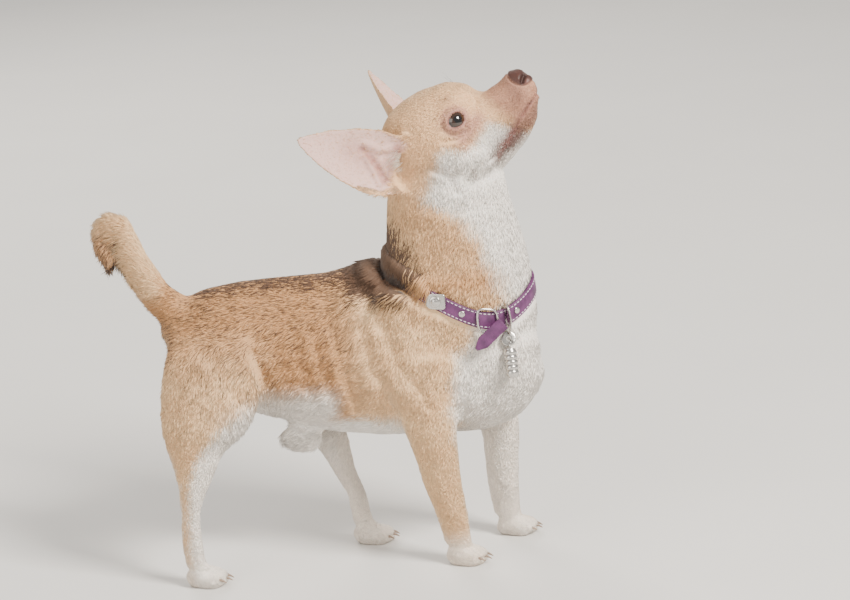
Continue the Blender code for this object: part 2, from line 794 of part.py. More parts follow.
def make_ring_and_tag(body, collar, tree, nickel):
    """An oval ring round the strap, a small ring through it, and a ridged tag that hangs from that."""
    centre, along, out, up = collar.at(RING_ANGLE)
    middle = centre + out * RING_LIFT - up * RING_DROP
    oval = ring_points(middle, -up, out, RING_RISE, RING_REACH, 16)
    combine(body, closed_wire("ring_groove", oval, RING_WIRE + GAP, nickel), "DIFFERENCE")
    closed_wire("collar_ring", oval, RING_WIRE, nickel)
    foot = middle - up * RING_RISE
    out = Vector(TAG_LEAN).normalized()
    down = hang_direction(tree, foot, out, TAG_LENGTH + 3 * TAG_RING_RADIUS)
    out = (out - down * out.dot(down)).normalized()
    small = foot + down * (TAG_RING_RADIUS - TAG_RING_WIRE - RING_WIRE - LINK_PLAY)
    tangent = out.cross(down).normalized()
    ring = ring_points(small, down, tangent, TAG_RING_RADIUS, TAG_RING_RADIUS, 16)
    closed_wire("tag_ring", ring, TAG_RING_WIRE, nickel, 6)
    loop_middle = small + down * (TAG_RING_RADIUS + TAG_LOOP_RADIUS - TAG_RING_WIRE - TAG_LOOP_WIRE - LINK_PLAY)
    eye = ring_points(loop_middle, down, out, TAG_LOOP_RADIUS, TAG_LOOP_RADIUS, 12)
    loop = closed_wire("tag_loop", eye, TAG_LOOP_WIRE, nickel, 6)
    profile = [(-0.1, 1.6), (0.5, TAG_RADIUS - 0.6)]
    ridge = (TAG_LENGTH - 3.0) / TAG_RIDGES
    for i in range(TAG_RIDGES):
        base = 1.2 + ridge * i
        profile.append((base, TAG_RADIUS - 0.7))
        profile.append((base + ridge * 0.3, TAG_RADIUS))
        profile.append((base + ridge * 0.75, TAG_RADIUS))
    profile.append((TAG_LENGTH - 1.2, TAG_RADIUS - 0.7))
    profile.append((TAG_LENGTH, TAG_RADIUS - 1.6))
    tag = turned("tag_barrel", profile, loop_middle + down * (TAG_LOOP_RADIUS - 0.2), down, nickel, 10)
    combine(tag, loop, "UNION")


def take(body, name, region, mat):
    """Cuts what a region holds out of the body as a node of its own, a thin gap apart from the rest."""
    grown = copy_of(region, "grown")
    piece = copy_of(body, name)
    piece.data.materials.clear()
    piece.data.materials.append(mat)
    combine(piece, region, "INTERSECT")
    swell(grown, GAP)
    combine(body, grown, "DIFFERENCE")
    return piece


def swell(ob, amount):
    """Moves a convex region's faces outward."""
    bm = bmesh.new()
    bm.from_mesh(ob.data)
    bm.normal_update()
    moves = [v.normal * v.calc_shell_factor() * amount * MM for v in bm.verts]
    for v, move in zip(bm.verts, moves):
        v.co += move
    bm.to_mesh(ob.data)
    bm.free()


def corner_box(name, low, high):
    low = Vector(low)
    high = Vector(high)
    return box(name, (low + high) / 2, high - low)


def above_plane(name, point, pitch, size, height=BIG, frame=None):
    """A block whose lower face passes through a point, turned by a pitch about the side axis."""
    turn = (frame or Matrix.Identity(3)) @ Matrix.Rotation(math.radians(pitch), 3, "Y")
    return box(name, Vector(point) + turn @ Vector((0, 0, height / 2)), (size[0], size[1], height), turn)


def take_face(body, pale, ear_skin, nose_skin):
    """Nose pad, lower jaw and ears."""
    bm = bmesh.new()
    ellipsoid(bm, on_head(73.5, 0, -13.4), (8.0, 8.2, 8.4), HEAD_TURN, segments=14)
    take(body, "nose", add_object("nose_region", bm), nose_skin)
    line = Matrix.Rotation(math.radians(-14.0), 3, "Y")
    jaw_turn = HEAD_TURN @ line
    hinge = on_head(27.5, 0, -43.0)
    jaw_middle = hinge + jaw_turn @ Vector((35, 0, -25))
    take(body, "lower_jaw", box("jaw_region", jaw_middle, (70, 60, 50), jaw_turn), pale)
    for name, side in (("ear_right", -1), ("ear_left", 1)):
        root, along, face, across = ear_axes(side)
        turn = HEAD_TURN @ Matrix((face, across, along.normalized())).transposed()
        middle = on_head(*(root + along * (EAR_PLANE + 0.75)))
        take(body, name, box("ear_region", middle, (44, 62, along.length * 1.5), turn), ear_skin)


def take_limbs(body, coat, pale):
    """Legs and feet, each cut across where a leg leaves the trunk and at its joints."""
    take(body, "forefoot_right", corner_box("cut", (-20, -60, -5), (40, -10, 25)), pale)
    take(body, "forefoot_left", corner_box("cut", (15, 8, -5), (75, 60, 25)), pale)
    take(body, "foreleg_right", corner_box("cut", (-45, -60, 10), (25, -17, 90)), pale)
    take(body, "foreleg_left", corner_box("cut", (5, 14.5, 10), (70, 60, 88)), pale)
    take(body, "hindfoot_right", corner_box("cut", (-200, -60, -5), (-140, -10, 52)), pale)
    take(body, "hindfoot_left", corner_box("cut", (-100, 10, -5), (-30, 60, 47)), pale)
    take(body, "hindleg_right", corner_box("cut", (-210, -60, 30), (-130, -12, 92)), coat)
    take(body, "hindleg_left", corner_box("cut", (-125, 19, 30), (-60, 60, 86)), coat)
    take(body, "thigh_right", corner_box("cut", (-210, -60, 70), (-122, -20, 172)), coat)
    take(body, "thigh_left", corner_box("cut", (-172, 20, 70), (-78, 60, 168)), coat)


def take_tail(body, coat):
    for name, place, pitch in (
        ("tail_tip", (-214, 3, 239), -30),
        ("tail_middle", (-202, 2, 217), -32),
        ("tail_root", (-183, 1, 191), -44),
    ):
        take(body, name, above_plane("cut", place, pitch, (50, 60), 70), coat)


def centre_on_floor():
    """Puts the origin on the floor under the middle of the whole model."""
    points = [v.co for ob in bpy.data.objects for v in ob.data.vertices]
    shift = Vector([-(min(p[i] for p in points) + max(p[i] for p in points)) / 2 for i in (0, 1)] + [0.0])
    for ob in bpy.data.objects:
        ob.data.transform(Matrix.Translation(shift))


def main():
    clear_scene()
    coat = material("coat_fawn", COAT, 0.85)
    pale = material("coat_pale", COAT_PALE, 0.85)
    ear_skin = material("ear_skin", EAR_PINK, 0.7)
    horn = material("claw_horn", CLAW_HORN, 0.45)
    dark = material("eye_dark", EYE_DARK, 0.08)
    nose_skin = material("nose_skin", NOSE_BROWN, 0.5)
    leather = material("purple_leather", PURPLE, 0.55)
    nickel = material("nickel", NICKEL, 0.28, 1.0)

    body = make_body(coat)
    tree = body_tree(body)
    collar = Collar(tree)
    combine(body, make_ear("ear_right", -1), "UNION")
    combine(body, make_ear("ear_left", 1), "UNION")

    for name, side in (("eye_right", -1), ("eye_left", 1)):
        a, left, up = EYE_PLACE
        for grow in (GAP, 0.0):
            bm = bmesh.new()
            ellipsoid(bm, on_head(a, side * left, up), (EYE_RADIUS + grow,) * 3, segments=14)
            if grow:
                combine(body, add_object("socket", bm), "DIFFERENCE")
            else:
                add_object(name, bm, dark)
    for name in PAWS:
        for toe in range(len(TOE_SPREAD)):
            bm = bmesh.new()
            add_claw(bm, name, toe, GAP)
            combine(body, add_object("claw_socket", bm), "DIFFERENCE")
            bm = bmesh.new()
            add_claw(bm, name, toe, 0.0)
            add_object(f"claw_{name}_{toe + 1}", bm, horn)

    make_strap(collar, "collar_strap", 0.0, leather)
    combine(body, make_strap(collar, "strap_groove", GAP), "DIFFERENCE")
    make_fittings(body, collar, tree, nickel, leather)

    take_face(body, pale, ear_skin, nose_skin)
    take(body, "head", above_plane("cut", (8, -3, 262), -7, (220, 200), 120), coat)
    take(body, "neck", above_plane("cut", (8, -3, 174), 19, (260, 200), 130), coat)
    take_tail(body, coat)
    take_limbs(body, coat, pale)
    take(body, "chest", corner_box("cut", (-58, -80, 40), (100, 80, 240)), coat)
    take(body, "abdomen", corner_box("cut", (-125, -80, 40), (-50, 80, 240)), coat)
    body.name = "pelvis"
    centre_on_floor()


main()
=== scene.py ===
import math

import bmesh
import bpy
import numpy as np
from mathutils import Matrix, Vector
from mathutils.bvhtree import BVHTree


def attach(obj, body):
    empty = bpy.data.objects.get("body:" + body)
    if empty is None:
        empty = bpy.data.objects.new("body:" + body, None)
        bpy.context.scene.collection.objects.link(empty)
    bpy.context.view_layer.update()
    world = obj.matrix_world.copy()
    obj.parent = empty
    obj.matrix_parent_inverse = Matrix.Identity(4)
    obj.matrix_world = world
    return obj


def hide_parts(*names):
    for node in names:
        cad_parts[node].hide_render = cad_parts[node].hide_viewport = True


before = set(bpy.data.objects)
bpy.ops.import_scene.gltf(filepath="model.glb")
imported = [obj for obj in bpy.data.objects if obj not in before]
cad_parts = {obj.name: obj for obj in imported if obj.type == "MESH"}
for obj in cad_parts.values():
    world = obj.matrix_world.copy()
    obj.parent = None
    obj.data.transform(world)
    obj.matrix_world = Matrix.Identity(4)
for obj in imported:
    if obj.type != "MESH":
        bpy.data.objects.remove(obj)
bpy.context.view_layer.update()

# Hide.
# One soft skin from nose to tail, without a seam, which takes the place of all the solids of flesh. It is
# moulded like clay over them and smoothed; then the ears are pressed thin, and folds, lips, lids and toes
# are worked into it. All sizes are in millimetres.
MM = 0.001
VOXEL = 1.6 * MM
# How far the solids swell to run together at their seams, and the thin ears to hold in the smoothing.
SEAM_GROW = 0.35
EAR_GROW = 1.25
# How far the skin lies inside the body's outline, to leave room for the coat.
COAT_DEPTH = 1.3
# The head's middle and turn, and the heights above which there is only head, and only face and ears.
HEAD_AT = np.array((78.73, -16.42, 300.0))
HEAD_FLOOR = 250.0
FACE_FLOOR = 262.0
HEAD_TURN = np.array(
    Matrix.Rotation(math.radians(-18), 3, "Z")
    @ Matrix.Rotation(math.radians(-38), 3, "Y")
    @ Matrix.Rotation(math.radians(8), 3, "X")
)
RIGHT, LEFT = -1, 1


def in_head(points):
    """Millimetres forward, left and up of the head."""
    return (points - HEAD_AT) @ HEAD_TURN


def step(low, high, value):
    t = np.clip((value - low) / (high - low), 0, 1)
    return t * t * (3 - 2 * t)


def line_distance(points, line):
    """Distance of each point from a run of straight lines."""
    best = np.full(len(points), 1e9)
    line = np.array(line, float)
    for start, end in zip(line, line[1:]):
        run = end - start
        t = np.clip((points - start) @ run / (run @ run), 0, 1)
        best = np.minimum(best, np.linalg.norm(points - start - t[:, None] * run, axis=1))
    return best


def near_line(points, line, reach):
    """1 on the line, fading to 0 away from it."""
    return np.exp(-((line_distance(points, line) / reach) ** 2) / 2)


def worked(points, folds):
    """Sum of the rises of a list of folds: height, line and reach of each."""
    return sum(height * near_line(points, line, reach) for height, line, reach in folds)


def mirror(head):
    """Both halves of the head laid on the left one."""
    return head * (1, 0, 1) + np.abs(head) * (0, 1, 0)


# Ears, in the head's frame, both as if on the left: root, tips, the way each one faces, how cupped it is.
EAR_ROOT = (-24.0, 25.0, -6.0)
EAR_TIPS = {RIGHT: (-46.0, 69.0, 58.0), LEFT: (-33.0, 77.0, 48.5)}
EAR_FACES = {RIGHT: (0.5, 0.8, -0.3), LEFT: (0.99, 0.1, 0.07)}
EAR_CUPS = {RIGHT: 1.0, LEFT: 1.8}
# An ear's outline: place along its length, half width, how far the rims curl forward.
EAR_OUTLINE = [
    (-0.14, 13, 9),
    (0.0, 18, 10),
    (0.14, 22, 9),
    (0.32, 22.5, 7),
    (0.52, 19, 5),
    (0.72, 13.5, 3),
    (0.88, 7.5, 1.5),
    (0.97, 3.2, 0.6),
    (1.0, 1.2, 0.2),
]


def across_ear(head, side):
    """Place along an ear, place across it from -1 to 1, and distance in front of its middle sheet."""
    local = head * (1, side, 1)
    root = np.array(EAR_ROOT)
    along = np.array(EAR_TIPS[side]) - root
    face = np.array(EAR_FACES[side])
    face = face - along * (face @ along) / (along @ along)
    face /= np.linalg.norm(face)
    across = np.cross(along, face)
    across /= np.linalg.norm(across)
    place = (local - root) @ along / (along @ along)
    places, halves, curls = zip(*EAR_OUTLINE)
    half = np.interp(place, places, halves)
    curl = EAR_CUPS[side] * np.interp(place, places, curls)
    v = np.clip((local - root) @ across / half, -2, 2)
    front = (local - root) @ face - curl * (v * v - 0.35)
    return place, v, front, face * (1, side, 1)


def on_ear(place, v, front):
    return step(-0.02, 0.1, place) * step(1.35, 1.15, np.abs(v)) * step(7, 5, np.abs(front))


def rows_of(parts, field, width, kind=float):
    """One field of all of a mesh's vertices, edges or corners, a row for each."""
    values = np.empty(len(parts) * width, kind)
    parts.foreach_get(field, values)
    return values.reshape(-1, width)


def mesh_arrays(mesh):
    """Points in millimetres, and edges."""
    return rows_of(mesh.vertices, "co", 3) / MM, rows_of(mesh.edges, "vertices", 2, int)


def set_points(mesh, points):
    mesh.vertices.foreach_set("co", (points * MM).ravel())
    mesh.update()


def relax(points, edges, rounds, weight):
    """Draws each point towards the middle of its neighbours."""
    count = np.bincount(edges.ravel(), minlength=len(points))
    for _ in range(rounds):
        total = np.zeros_like(points)
        for axis in range(3):
            total[:, axis] = np.bincount(edges[:, 0], points[edges[:, 1], axis], len(points))
            total[:, axis] += np.bincount(edges[:, 1], points[edges[:, 0], axis], len(points))
        points = points + (total / count[:, None] - points) * (0.5 * weight)[:, None]
    return points


def new_object(name, data):
    ob = bpy.data.objects.new(name, data)
    bpy.context.collection.objects.link(ob)
    return ob


def mould_clay():
    """All the flesh solids, each swollen a little so that they run together."""
    clay = bmesh.new()
    for name in FLESH + ["eye_right", "eye_left"]:
        piece = bmesh.new()
        piece.from_mesh(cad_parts[name].data)
        bmesh.ops.remove_doubles(piece, verts=piece.verts, dist=1e-6)
        piece.normal_update()
        head = in_head(np.array([v.co for v in piece.verts]) / MM)
        ear = np.zeros(len(head))
        for side in (RIGHT, LEFT):
            place, v, front, _ = across_ear(head, side)
            ear = np.maximum(ear, on_ear(place, v, front) * step(24, 29, side * head[:, 1]))
        for vert, weight in zip(piece.verts, ear):
            vert.co += vert.normal * ((SEAM_GROW + (EAR_GROW - SEAM_GROW) * weight) * MM)
        mesh = bpy.data.meshes.new("clay")
        piece.to_mesh(mesh)
        piece.free()
        clay.from_mesh(mesh)
        bpy.data.meshes.remove(mesh)
    mesh = bpy.data.meshes.new("hide")
    clay.to_mesh(mesh)
    clay.free()
    return new_object("hide", mesh)


def settle(ob):
    """Replaces an object's mesh by what its modifiers make of it."""
    mesh = bpy.data.meshes.new_from_object(ob.evaluated_get(bpy.context.evaluated_depsgraph_get()))
    ob.modifiers.clear()
    ob.data = mesh


def refine(ob, wanted):
    """Halves the mesh's squares wherever the function of a point in millimetres says so."""
    bm = bmesh.new()
    bm.from_mesh(ob.data)
    centres = np.array([f.calc_center_median() for f in bm.faces]) / MM
    chosen = wanted(centres)
    edges = {e for f, yes in zip(bm.faces, chosen) if yes for e in f.edges}
    bmesh.ops.subdivide_edges(bm, edges=list(edges), cuts=1, use_grid_fill=True)
    bm.to_mesh(ob.data)
    bm.free()


def fine_parts(points):
    """Face, ears and paws."""
    head = in_head(points)
    face = (head[:, 0] > 4) & (points[:, 2] > 268)
    ears = np.zeros(len(points), bool)
    for side in (RIGHT, LEFT):
        place, v, front, _ = across_ear(head, side)
        ears |= (place > -0.12) & (np.abs(v) < 1.3) & (np.abs(front) < 8) & (side * head[:, 1] > 14)
    return face | ears | (points[:, 2] < 19)


# Middle of the eyeball and how far round it the lids reach, the nose and the mouth, in the head's frame.
EYE_AT = np.array((24.0, 17.6, -5.8))
LID_REACH = 12.5
NOSE_AT = np.array((73.5, 0.0, -13.4))
MOUTH_LINE = [(74, 0, -28.5), (67, 8.5, -30.5), (58, 13, -33.5), (43, 13.8, -38.5), (31, 15.5, -41.5)]


def finest_parts(points):
    """Round the eyes, and the nose and lips."""
    head = in_head(points)
    mirrored = mirror(head)
    eyes = np.linalg.norm(mirrored - EYE_AT, axis=1) < LID_REACH
    lips = (line_distance(mirrored, MOUTH_LINE) < 3.2) | (np.linalg.norm(head - NOSE_AT, axis=1) < 10)
    return (eyes & (mirrored[:, 1] > 14)) | lips


EYE_RADIUS = 8.3
GAZE = np.array((0.66, 0.74, 0.04))


def work_eyelids(head, side):
    """Opens an almond over the eyeball, with rolled lids that ride on it.

    Returns how near each point is to a lid's edge."""
    local = head * (1, side, 1)
    gaze = GAZE / np.linalg.norm(GAZE)
    ahead = np.array((1.0, 0, 0)) - gaze * gaze[0]
    ahead /= np.linalg.norm(ahead)
    above = np.cross(ahead, gaze)
    above *= np.sign(above[2])
    arm = local - EYE_AT
    reach = np.linalg.norm(arm, axis=1)
    arm /= reach[:, None]
    turn = np.degrees(np.arccos(np.clip(arm @ gaze, -1, 1)))
    round_eye = np.arctan2(arm @ above, arm @ ahead)
    fore = np.cos(round_eye)
    corners = 15 * np.clip(-fore, 0, 1) ** 3 + 7 * np.clip(fore, 0, 1) ** 4
    opening = 35 + corners + 2 * np.sin(round_eye)
    past = turn - opening
    close = reach < 22
    radius = reach.copy()
    lid = EYE_RADIUS + 0.45 + 0.8 * step(0, 9, past)
    blend = step(10, 40, past)
    inside = close & (past < 0)
    radius[inside] = EYE_RADIUS - 1.3
    shown = close & (past >= 0) & (turn < 125)
    soft = np.sqrt((reach - lid) ** 2 + 3.0)
    covered = (reach + lid + soft) / 2
    radius[shown] = (lid * (1 - blend) + covered * blend)[shown]
    edge = close & (np.abs(past) < 1.9)
    radius[edge] = EYE_RADIUS + 0.3
    spoke = np.cos(round_eye)[:, None] * ahead + np.sin(round_eye)[:, None] * above
    at_edge = np.cos(np.radians(opening))[:, None] * gaze + np.sin(np.radians(opening))[:, None] * spoke
    arm[edge] = at_edge[edge]
    moved = EYE_AT + arm * radius[:, None]
    touched = inside | shown
    local[touched] = moved[touched]
    rim = np.where(close & (side * head[:, 1] > 0), np.exp(-((past / 4.5) ** 2)), 0)
    return local * (1, side, 1), rim


NOSE_RADIUS = 8.4
NOSTRIL = [(77.4, 2.4, -14.2), (76.2, 4.4, -14.6), (74.2, 6.3, -16.4)]
MOLE = [(13.3, 25, -38.8), (13.4, 25, -38.8)]
# Face: how far the skin rises, the line it follows and how wide; each counts on both sides.
FACE_WORK = [
    (0.9, np.array(MOUTH_LINE) + (0, 0.5, 3.6), 2.6),
    (0.5, np.array(MOUTH_LINE) + (-1, 0, -3.4), 2.2),
    (-1.7, MOUTH_LINE, 0.75),
    (-1.1, [(29, 16, -42.5), (25, 17.5, -41)], 1.3),
    (0.7, [(77, 4.0, -11.4), (74.5, 7, -12.8)], 1.4),
    (-0.8, [(79, 0, -12), (77.5, 0, -17), (75, 0, -23), (74, 0, -30)], 0.7),
    (1.3, [(31, 9, 3), (28, 17, 3.5), (20, 23, 1)], 3.5),
    (-1.0, [(46, 0, -4), (30, 0, 12), (10, 0, 22)], 4.0),
    (-0.7, [(34, 12, -9), (42, 11, -14), (50, 10, -17)], 2.0),
    (-0.6, [(29, 21, -17), (20, 25, -16), (12, 27, -10)], 1.3),
    (0.8, [(30, 19, -20), (20, 24, -21)], 3.0),
    (-0.9, [(-6, 31, -20), (-1, 31, -30), (-4, 29, -42)], 1.8),
    (0.35, MOLE, 1.3),
]


def nose_pad(head):
    """1 on the edge of the nose leather, less inside it."""
    return np.linalg.norm((head - NOSE_AT) / NOSE_RADIUS, axis=1)


def work_face(head, normals):
    """Muzzle, lips, nose leather, brows and cheeks, by how far the skin rises or sinks."""
    mirrored = mirror(head)
    pad = nose_pad(head)
    rise = worked(mirrored, FACE_WORK)
    rise += 0.7 * step(1.04, 0.9, pad) - 0.35 * np.exp(-(((pad - 1.06) / 0.05) ** 2))
    rise -= 2.6 * near_line(mirrored, NOSTRIL, 1.1) * step(0.8, 1.8, mirrored[:, 1])
    return head + normals * rise[:, None]


EAR_LONG, EAR_HALF = 70, 20
# Inside an ear, along and across it: the main fold, which is also painted dark as shade; then the rise, line
# and width of every fold.
EAR_FOLD = [(28, -5), (22, -2), (13, 3.5), (7, 10), (0, 12)]
EAR_WORK = [
    (2.2, [(24, -1), (16, 6), (11, 12)], 1.5),
    (1.6, [(27, -9), (17, -7), (10, -10)], 1.7),
    (1.7, [(12, 0), (6, 5), (2, 7)], 2.2),
    (-0.9, EAR_FOLD, 1.5),
    (0.9, [(30, 21), (18, 20), (4, 22)], 1.0),
    (-0.6, [(24, 17), (16, 17.5), (6, 18)], 1.1),
]


def work_ears(head):
    """Presses the ears thin and raises the folds inside them.

    Returns how far each point is on an ear's inner face, and how near its rim."""
    inner = np.zeros(len(head))
    rim = np.zeros(len(head))
    for side in (RIGHT, LEFT):
        place, v, front, face = across_ear(head, side)
        ear = on_ear(place, v, front) * step(14, 20, side * head[:, 1])
        thin = 1 - 0.62 * step(-0.02, 0.16, place) * ear
        uv = np.stack((place * EAR_LONG, v * EAR_HALF), 1)
        fold = worked(uv, EAR_WORK)
        forward = step(-0.3, 0.6, front) * ear
        shift = front * (thin - 1) + fold * forward
        head = head + face * (shift * ear)[:, None]
        inner = np.maximum(inner, forward * step(1.02, 0.9, np.abs(v)) * step(-0.02, 0.06, place))
        rim = np.maximum(rim, ear * step(0.86, 1.0, np.abs(v)))
    return head, inner, rim


# Paws: x and y of the middle, and the way the toes point, in degrees.
PAWS = [(84.7, -41.45, -12.0), (121.7, 13.55, -4.0), (-93.3, -50.45, -6.0), (21.2, 15.55, -2.0)]
# Folds of the body: how far the skin rises, the line it follows and how wide.
BODY_WORK = [
    (-1.9, [(31, -37, 192), (39, -50, 172), (47, -54, 150), (58, -57, 128), (50, -50, 112)], 4.8),
    (1.6, [(14, -36, 190), (22, -46, 158), (31, -46, 126)], 7.0),
    (2.0, [(73, -48, 196), (74, -49, 172), (77, -51, 150), (78, -52, 136)], 6.0),
    (-0.8, [(60, -58, 133), (66, -57, 118)], 2.6),
    (-2.2, [(60, 22, 192), (68, 32, 168), (74, 34, 146), (86, 32, 122)], 3.6),
    (-2.4, [(-50, -42, 158), (-43, -40, 133), (-34, -38, 106)], 3.6),
    (-2.0, [(-36, 30, 158), (-20, 34, 133), (-4, 34, 110)], 3.6),
    (-1.1, [(-84, -50, 166), (-70, -56, 148), (-60, -56, 130)], 4.5),
]
# The same on both sides: the neck's loose skin and three ribs.
PAIRED_WORK = [
    (-0.4, [(40, -44, 262), (66, -46, 252), (92, -47, 248), (112, -40, 250)], 3.4),
    (0.5, [(60, -46, 246), (84, -47, 240), (98, -46, 226)], 5.5),
]
for rib in (-22, -8, 6):
    PAIRED_WORK.append((-0.5, [(rib, -40, 172), (rib + 5, -44, 140), (rib + 12, -38, 112)], 3.0))
MIDDLE_OF_NECK = -11
# Clefts between the toes: how far aside of the paw's middle each one ends, and how far ahead of it.
CLEFTS = [(-5.1, 12.0), (0.0, 14.5), (5.1, 12.0)]


def work_body(points, normals):
    """Shoulder, flank and neck folds, and the clefts between the toes."""
    mirrored = points.copy()
    mirrored[:, 1] = MIDDLE_OF_NECK - np.abs(points[:, 1] - MIDDLE_OF_NECK)
    rise = worked(points, BODY_WORK) + worked(mirrored, PAIRED_WORK)
    for x, y, heading in PAWS:
        angle = math.radians(heading)
        ahead = np.array((math.cos(angle), math.sin(angle), 0))
        aside = np.array((-ahead[1], ahead[0], 0))
        middle = np.array((x, y, 0))
        for spread, reach in CLEFTS:
            top = middle + ahead * 3 + aside * spread * 0.7 + (0, 0, 12)
            front = middle + ahead * reach + aside * spread + (0, 0, 5)
            rise -= 1.7 * near_line(points, [top, front], 1.1)
    return points + normals * rise[:, None]


OTHER_STUFF = ("collar_", "tag_", "claw_", "eye_")
FLESH = [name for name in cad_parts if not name.startswith(OTHER_STUFF)]
hide = mould_clay()
remesh = hide.modifiers.new("remesh", "REMESH")
remesh.mode = "VOXEL"
remesh.voxel_size = VOXEL
settle(hide)
points, edges = mesh_arrays(hide.data)
soft = step(6, 22, points[:, 2]) * 0.75 + 0.25
points = relax(points, edges, 12, soft)
set_points(hide.data, points)
refine(hide, fine_parts)
refine(hide, finest_parts)
points, edges = mesh_arrays(hide.data)
points = relax(points, edges, 3, np.ones(len(points)))
set_points(hide.data, points)
normals = rows_of(hide.data.vertices, "normal", 3)
head = in_head(points)
shallow = step(4, 34, head[:, 0]) * step(255, 270, points[:, 2])
shallow = np.maximum(shallow * 0.85, 0.5 * step(262, 285, points[:, 2]))
depth = COAT_DEPTH * step(20, 100, points[:, 2]) * (1 - shallow)
points = points - normals * depth[:, None]
points = work_body(points, normals)
is_head = (points[:, 2] > HEAD_FLOOR)[:, None]
head = in_head(points)
head, ear_inside, ear_rim = work_ears(head)
head = np.where(is_head, work_face(head, normals @ HEAD_TURN), head)
lid_edge = np.zeros(len(points))
for side in (RIGHT, LEFT):
    head, rim = work_eyelids(head, side)
    lid_edge = np.maximum(lid_edge, rim)
points = np.where(is_head, HEAD_AT + head @ HEAD_TURN.T, points)
points[:, 2] = np.maximum(points[:, 2], 0.0)
set_points(hide.data, points)
hide.data.shade_smooth()


# The hide's markings, which the coat shares: sable over the back, nape and tail end, fawn flanks and head,
# cream shoulders and thighs, white underneath; and bare pink or dark leather at ears, lids, lips and nose.
# Painted shade darkens the ears' folds, the nostrils and the slit of the mouth.
FAWN = (0.60, 0.325, 0.145)
CREAM = (0.88, 0.62, 0.36)
HEAD_FAWN = (0.82, 0.53, 0.295)
TAIL_TAN = (0.60, 0.32, 0.15)
WHITE = (0.93, 0.88, 0.82)
SABLE = (0.085, 0.046, 0.032)
MUZZLE = (0.45, 0.225, 0.155)
LIP = (0.105, 0.045, 0.038)
# Near black along the mouth's slit: painted shade in the crease between the lips.
SLIT_SHADE = (0.03, 0.012, 0.012)
NOSE = (0.066, 0.028, 0.023)
NOSE_WING = (0.26, 0.12, 0.10)
# Near black for the nostrils: painted shade in their hollows.
NOSTRIL_SHADE = (0.006, 0.003, 0.003)
LID_PINK = (0.42, 0.20, 0.165)
LID_EDGE = (0.20, 0.085, 0.075)
EAR_PINK = (0.74, 0.50, 0.46)
# Reddish skin of the ear's folds, darkened further as painted shade of the cup at its root.
EAR_FOLD_RED_AND_SHADE = (0.30, 0.11, 0.09)
# Small patches of the face: colour, how strong, the line they follow and how wide.
FACE_PATCHES = [
    ((0.27, 0.135, 0.10), 0.75, [(70, 0, -6), (69, 8, -14), (66, 9, -22)], 4.5),
    ((0.24, 0.12, 0.09), 0.85, [(66, 3, -37), (52, 10, -42), (40, 13, -44)], 4.5),
    (LIP, 0.95, [(51, 12.5, -38.5), (41, 13.5, -41), (31, 15.5, -43)], 4.4),
    ((0.30, 0.13, 0.11), 0.8, MOUTH_LINE, 2.0),
    ((0.52, 0.27, 0.215), 0.85, [(36, 15, -15), (30, 19, -17), (22, 23, -18)], 3.8),
    ((0.34, 0.17, 0.12), 0.5, [(29, 15, 7), (29.1, 15, 7)], 3.0),
    ((0.30, 0.18, 0.13), 0.6, MOLE, 1.5),
]
# Where the markings' borders run: height and x; on the cheek, forward and up in the head's frame.
NAPE_BORDER = [(186, 53), (196, 60), (212, 68), (232, 57), (248, 47), (258, 37)]
CHEST_BORDER = [
    (60, 96), (110, 82), (140, 84), (170, 100), (186, 124),
    (206, 117), (239, 102), (250, 90), (257, 74), (280, 80),
]
SHIN_BORDER = [(0, -103), (30, -103), (60, -101), (80, -97), (100, -88), (128, -60)]
CHEEK_BORDER = [
    (-40, -42), (-23, -31), (-5, -20), (5, -15), (12, -14), (18, -23),
    (24, -27), (33, -21), (40, -21), (47, -30), (54, -44), (60, -60),
]
FAR_LEG_AHEAD = 113


def ripple(points, length):
    """A soft irregular wave of about that length, from -1 to 1."""
    x, y, z = (points / length).T
    wave = np.sin(2.1 * x + 1.3 * np.sin(1.7 * y + z))
    wave += np.sin(2.3 * y + 1.1 * np.sin(1.9 * z + 0.7 * x))
    return (wave + np.sin(2.7 * z + 1.2 * np.sin(1.3 * x + 1.1 * y))) / 3


def border(value, rows):
    """Height of a border drawn through rows of two numbers."""
    return np.interp(value, *zip(*rows))


def blend_colour(base, colour, weight):
    return base + (np.array(colour) - base) * np.clip(weight, 0, 1)[:, None]


def sable_amount(points):
    """Dark hair along the back, over the withers, down the nape and at the end of the tail."""
    x, _, z = points.T
    wave = ripple(points, 7) * 4
    high = z + wave
    under_ears = step(232, 218, z)
    back = 0.76 * step(188, 204, high) * step(-112, -80, x) * step(60, 40, x) * under_ears
    withers = 0.9 * step(190, 204, high) * step(-8, 22, x) * step(66, 46, x) * step(228, 214, z)
    nape = 0.93 * step(8, -12, x - border(z, NAPE_BORDER) + wave) * step(12, 22, x)
    nape = nape * step(184, 196, z) * step(256, 238, z)
    tail_end = 0.85 * step(228, 215, high) * step(-130, -136, x)
    tail_top = 0.3 * step(-128, -136, x) * step(250, 236, z)
    root = 0.25 * step(-96, -104, x) * step(190, 176, z) * step(150, 165, z)
    flank = 0.2 * step(118, 180, z) * step(-112, -85, x) * step(30, 5, x) * under_ears
    return np.max([back, withers, nape, tail_end + tail_top, root, flank], axis=0)


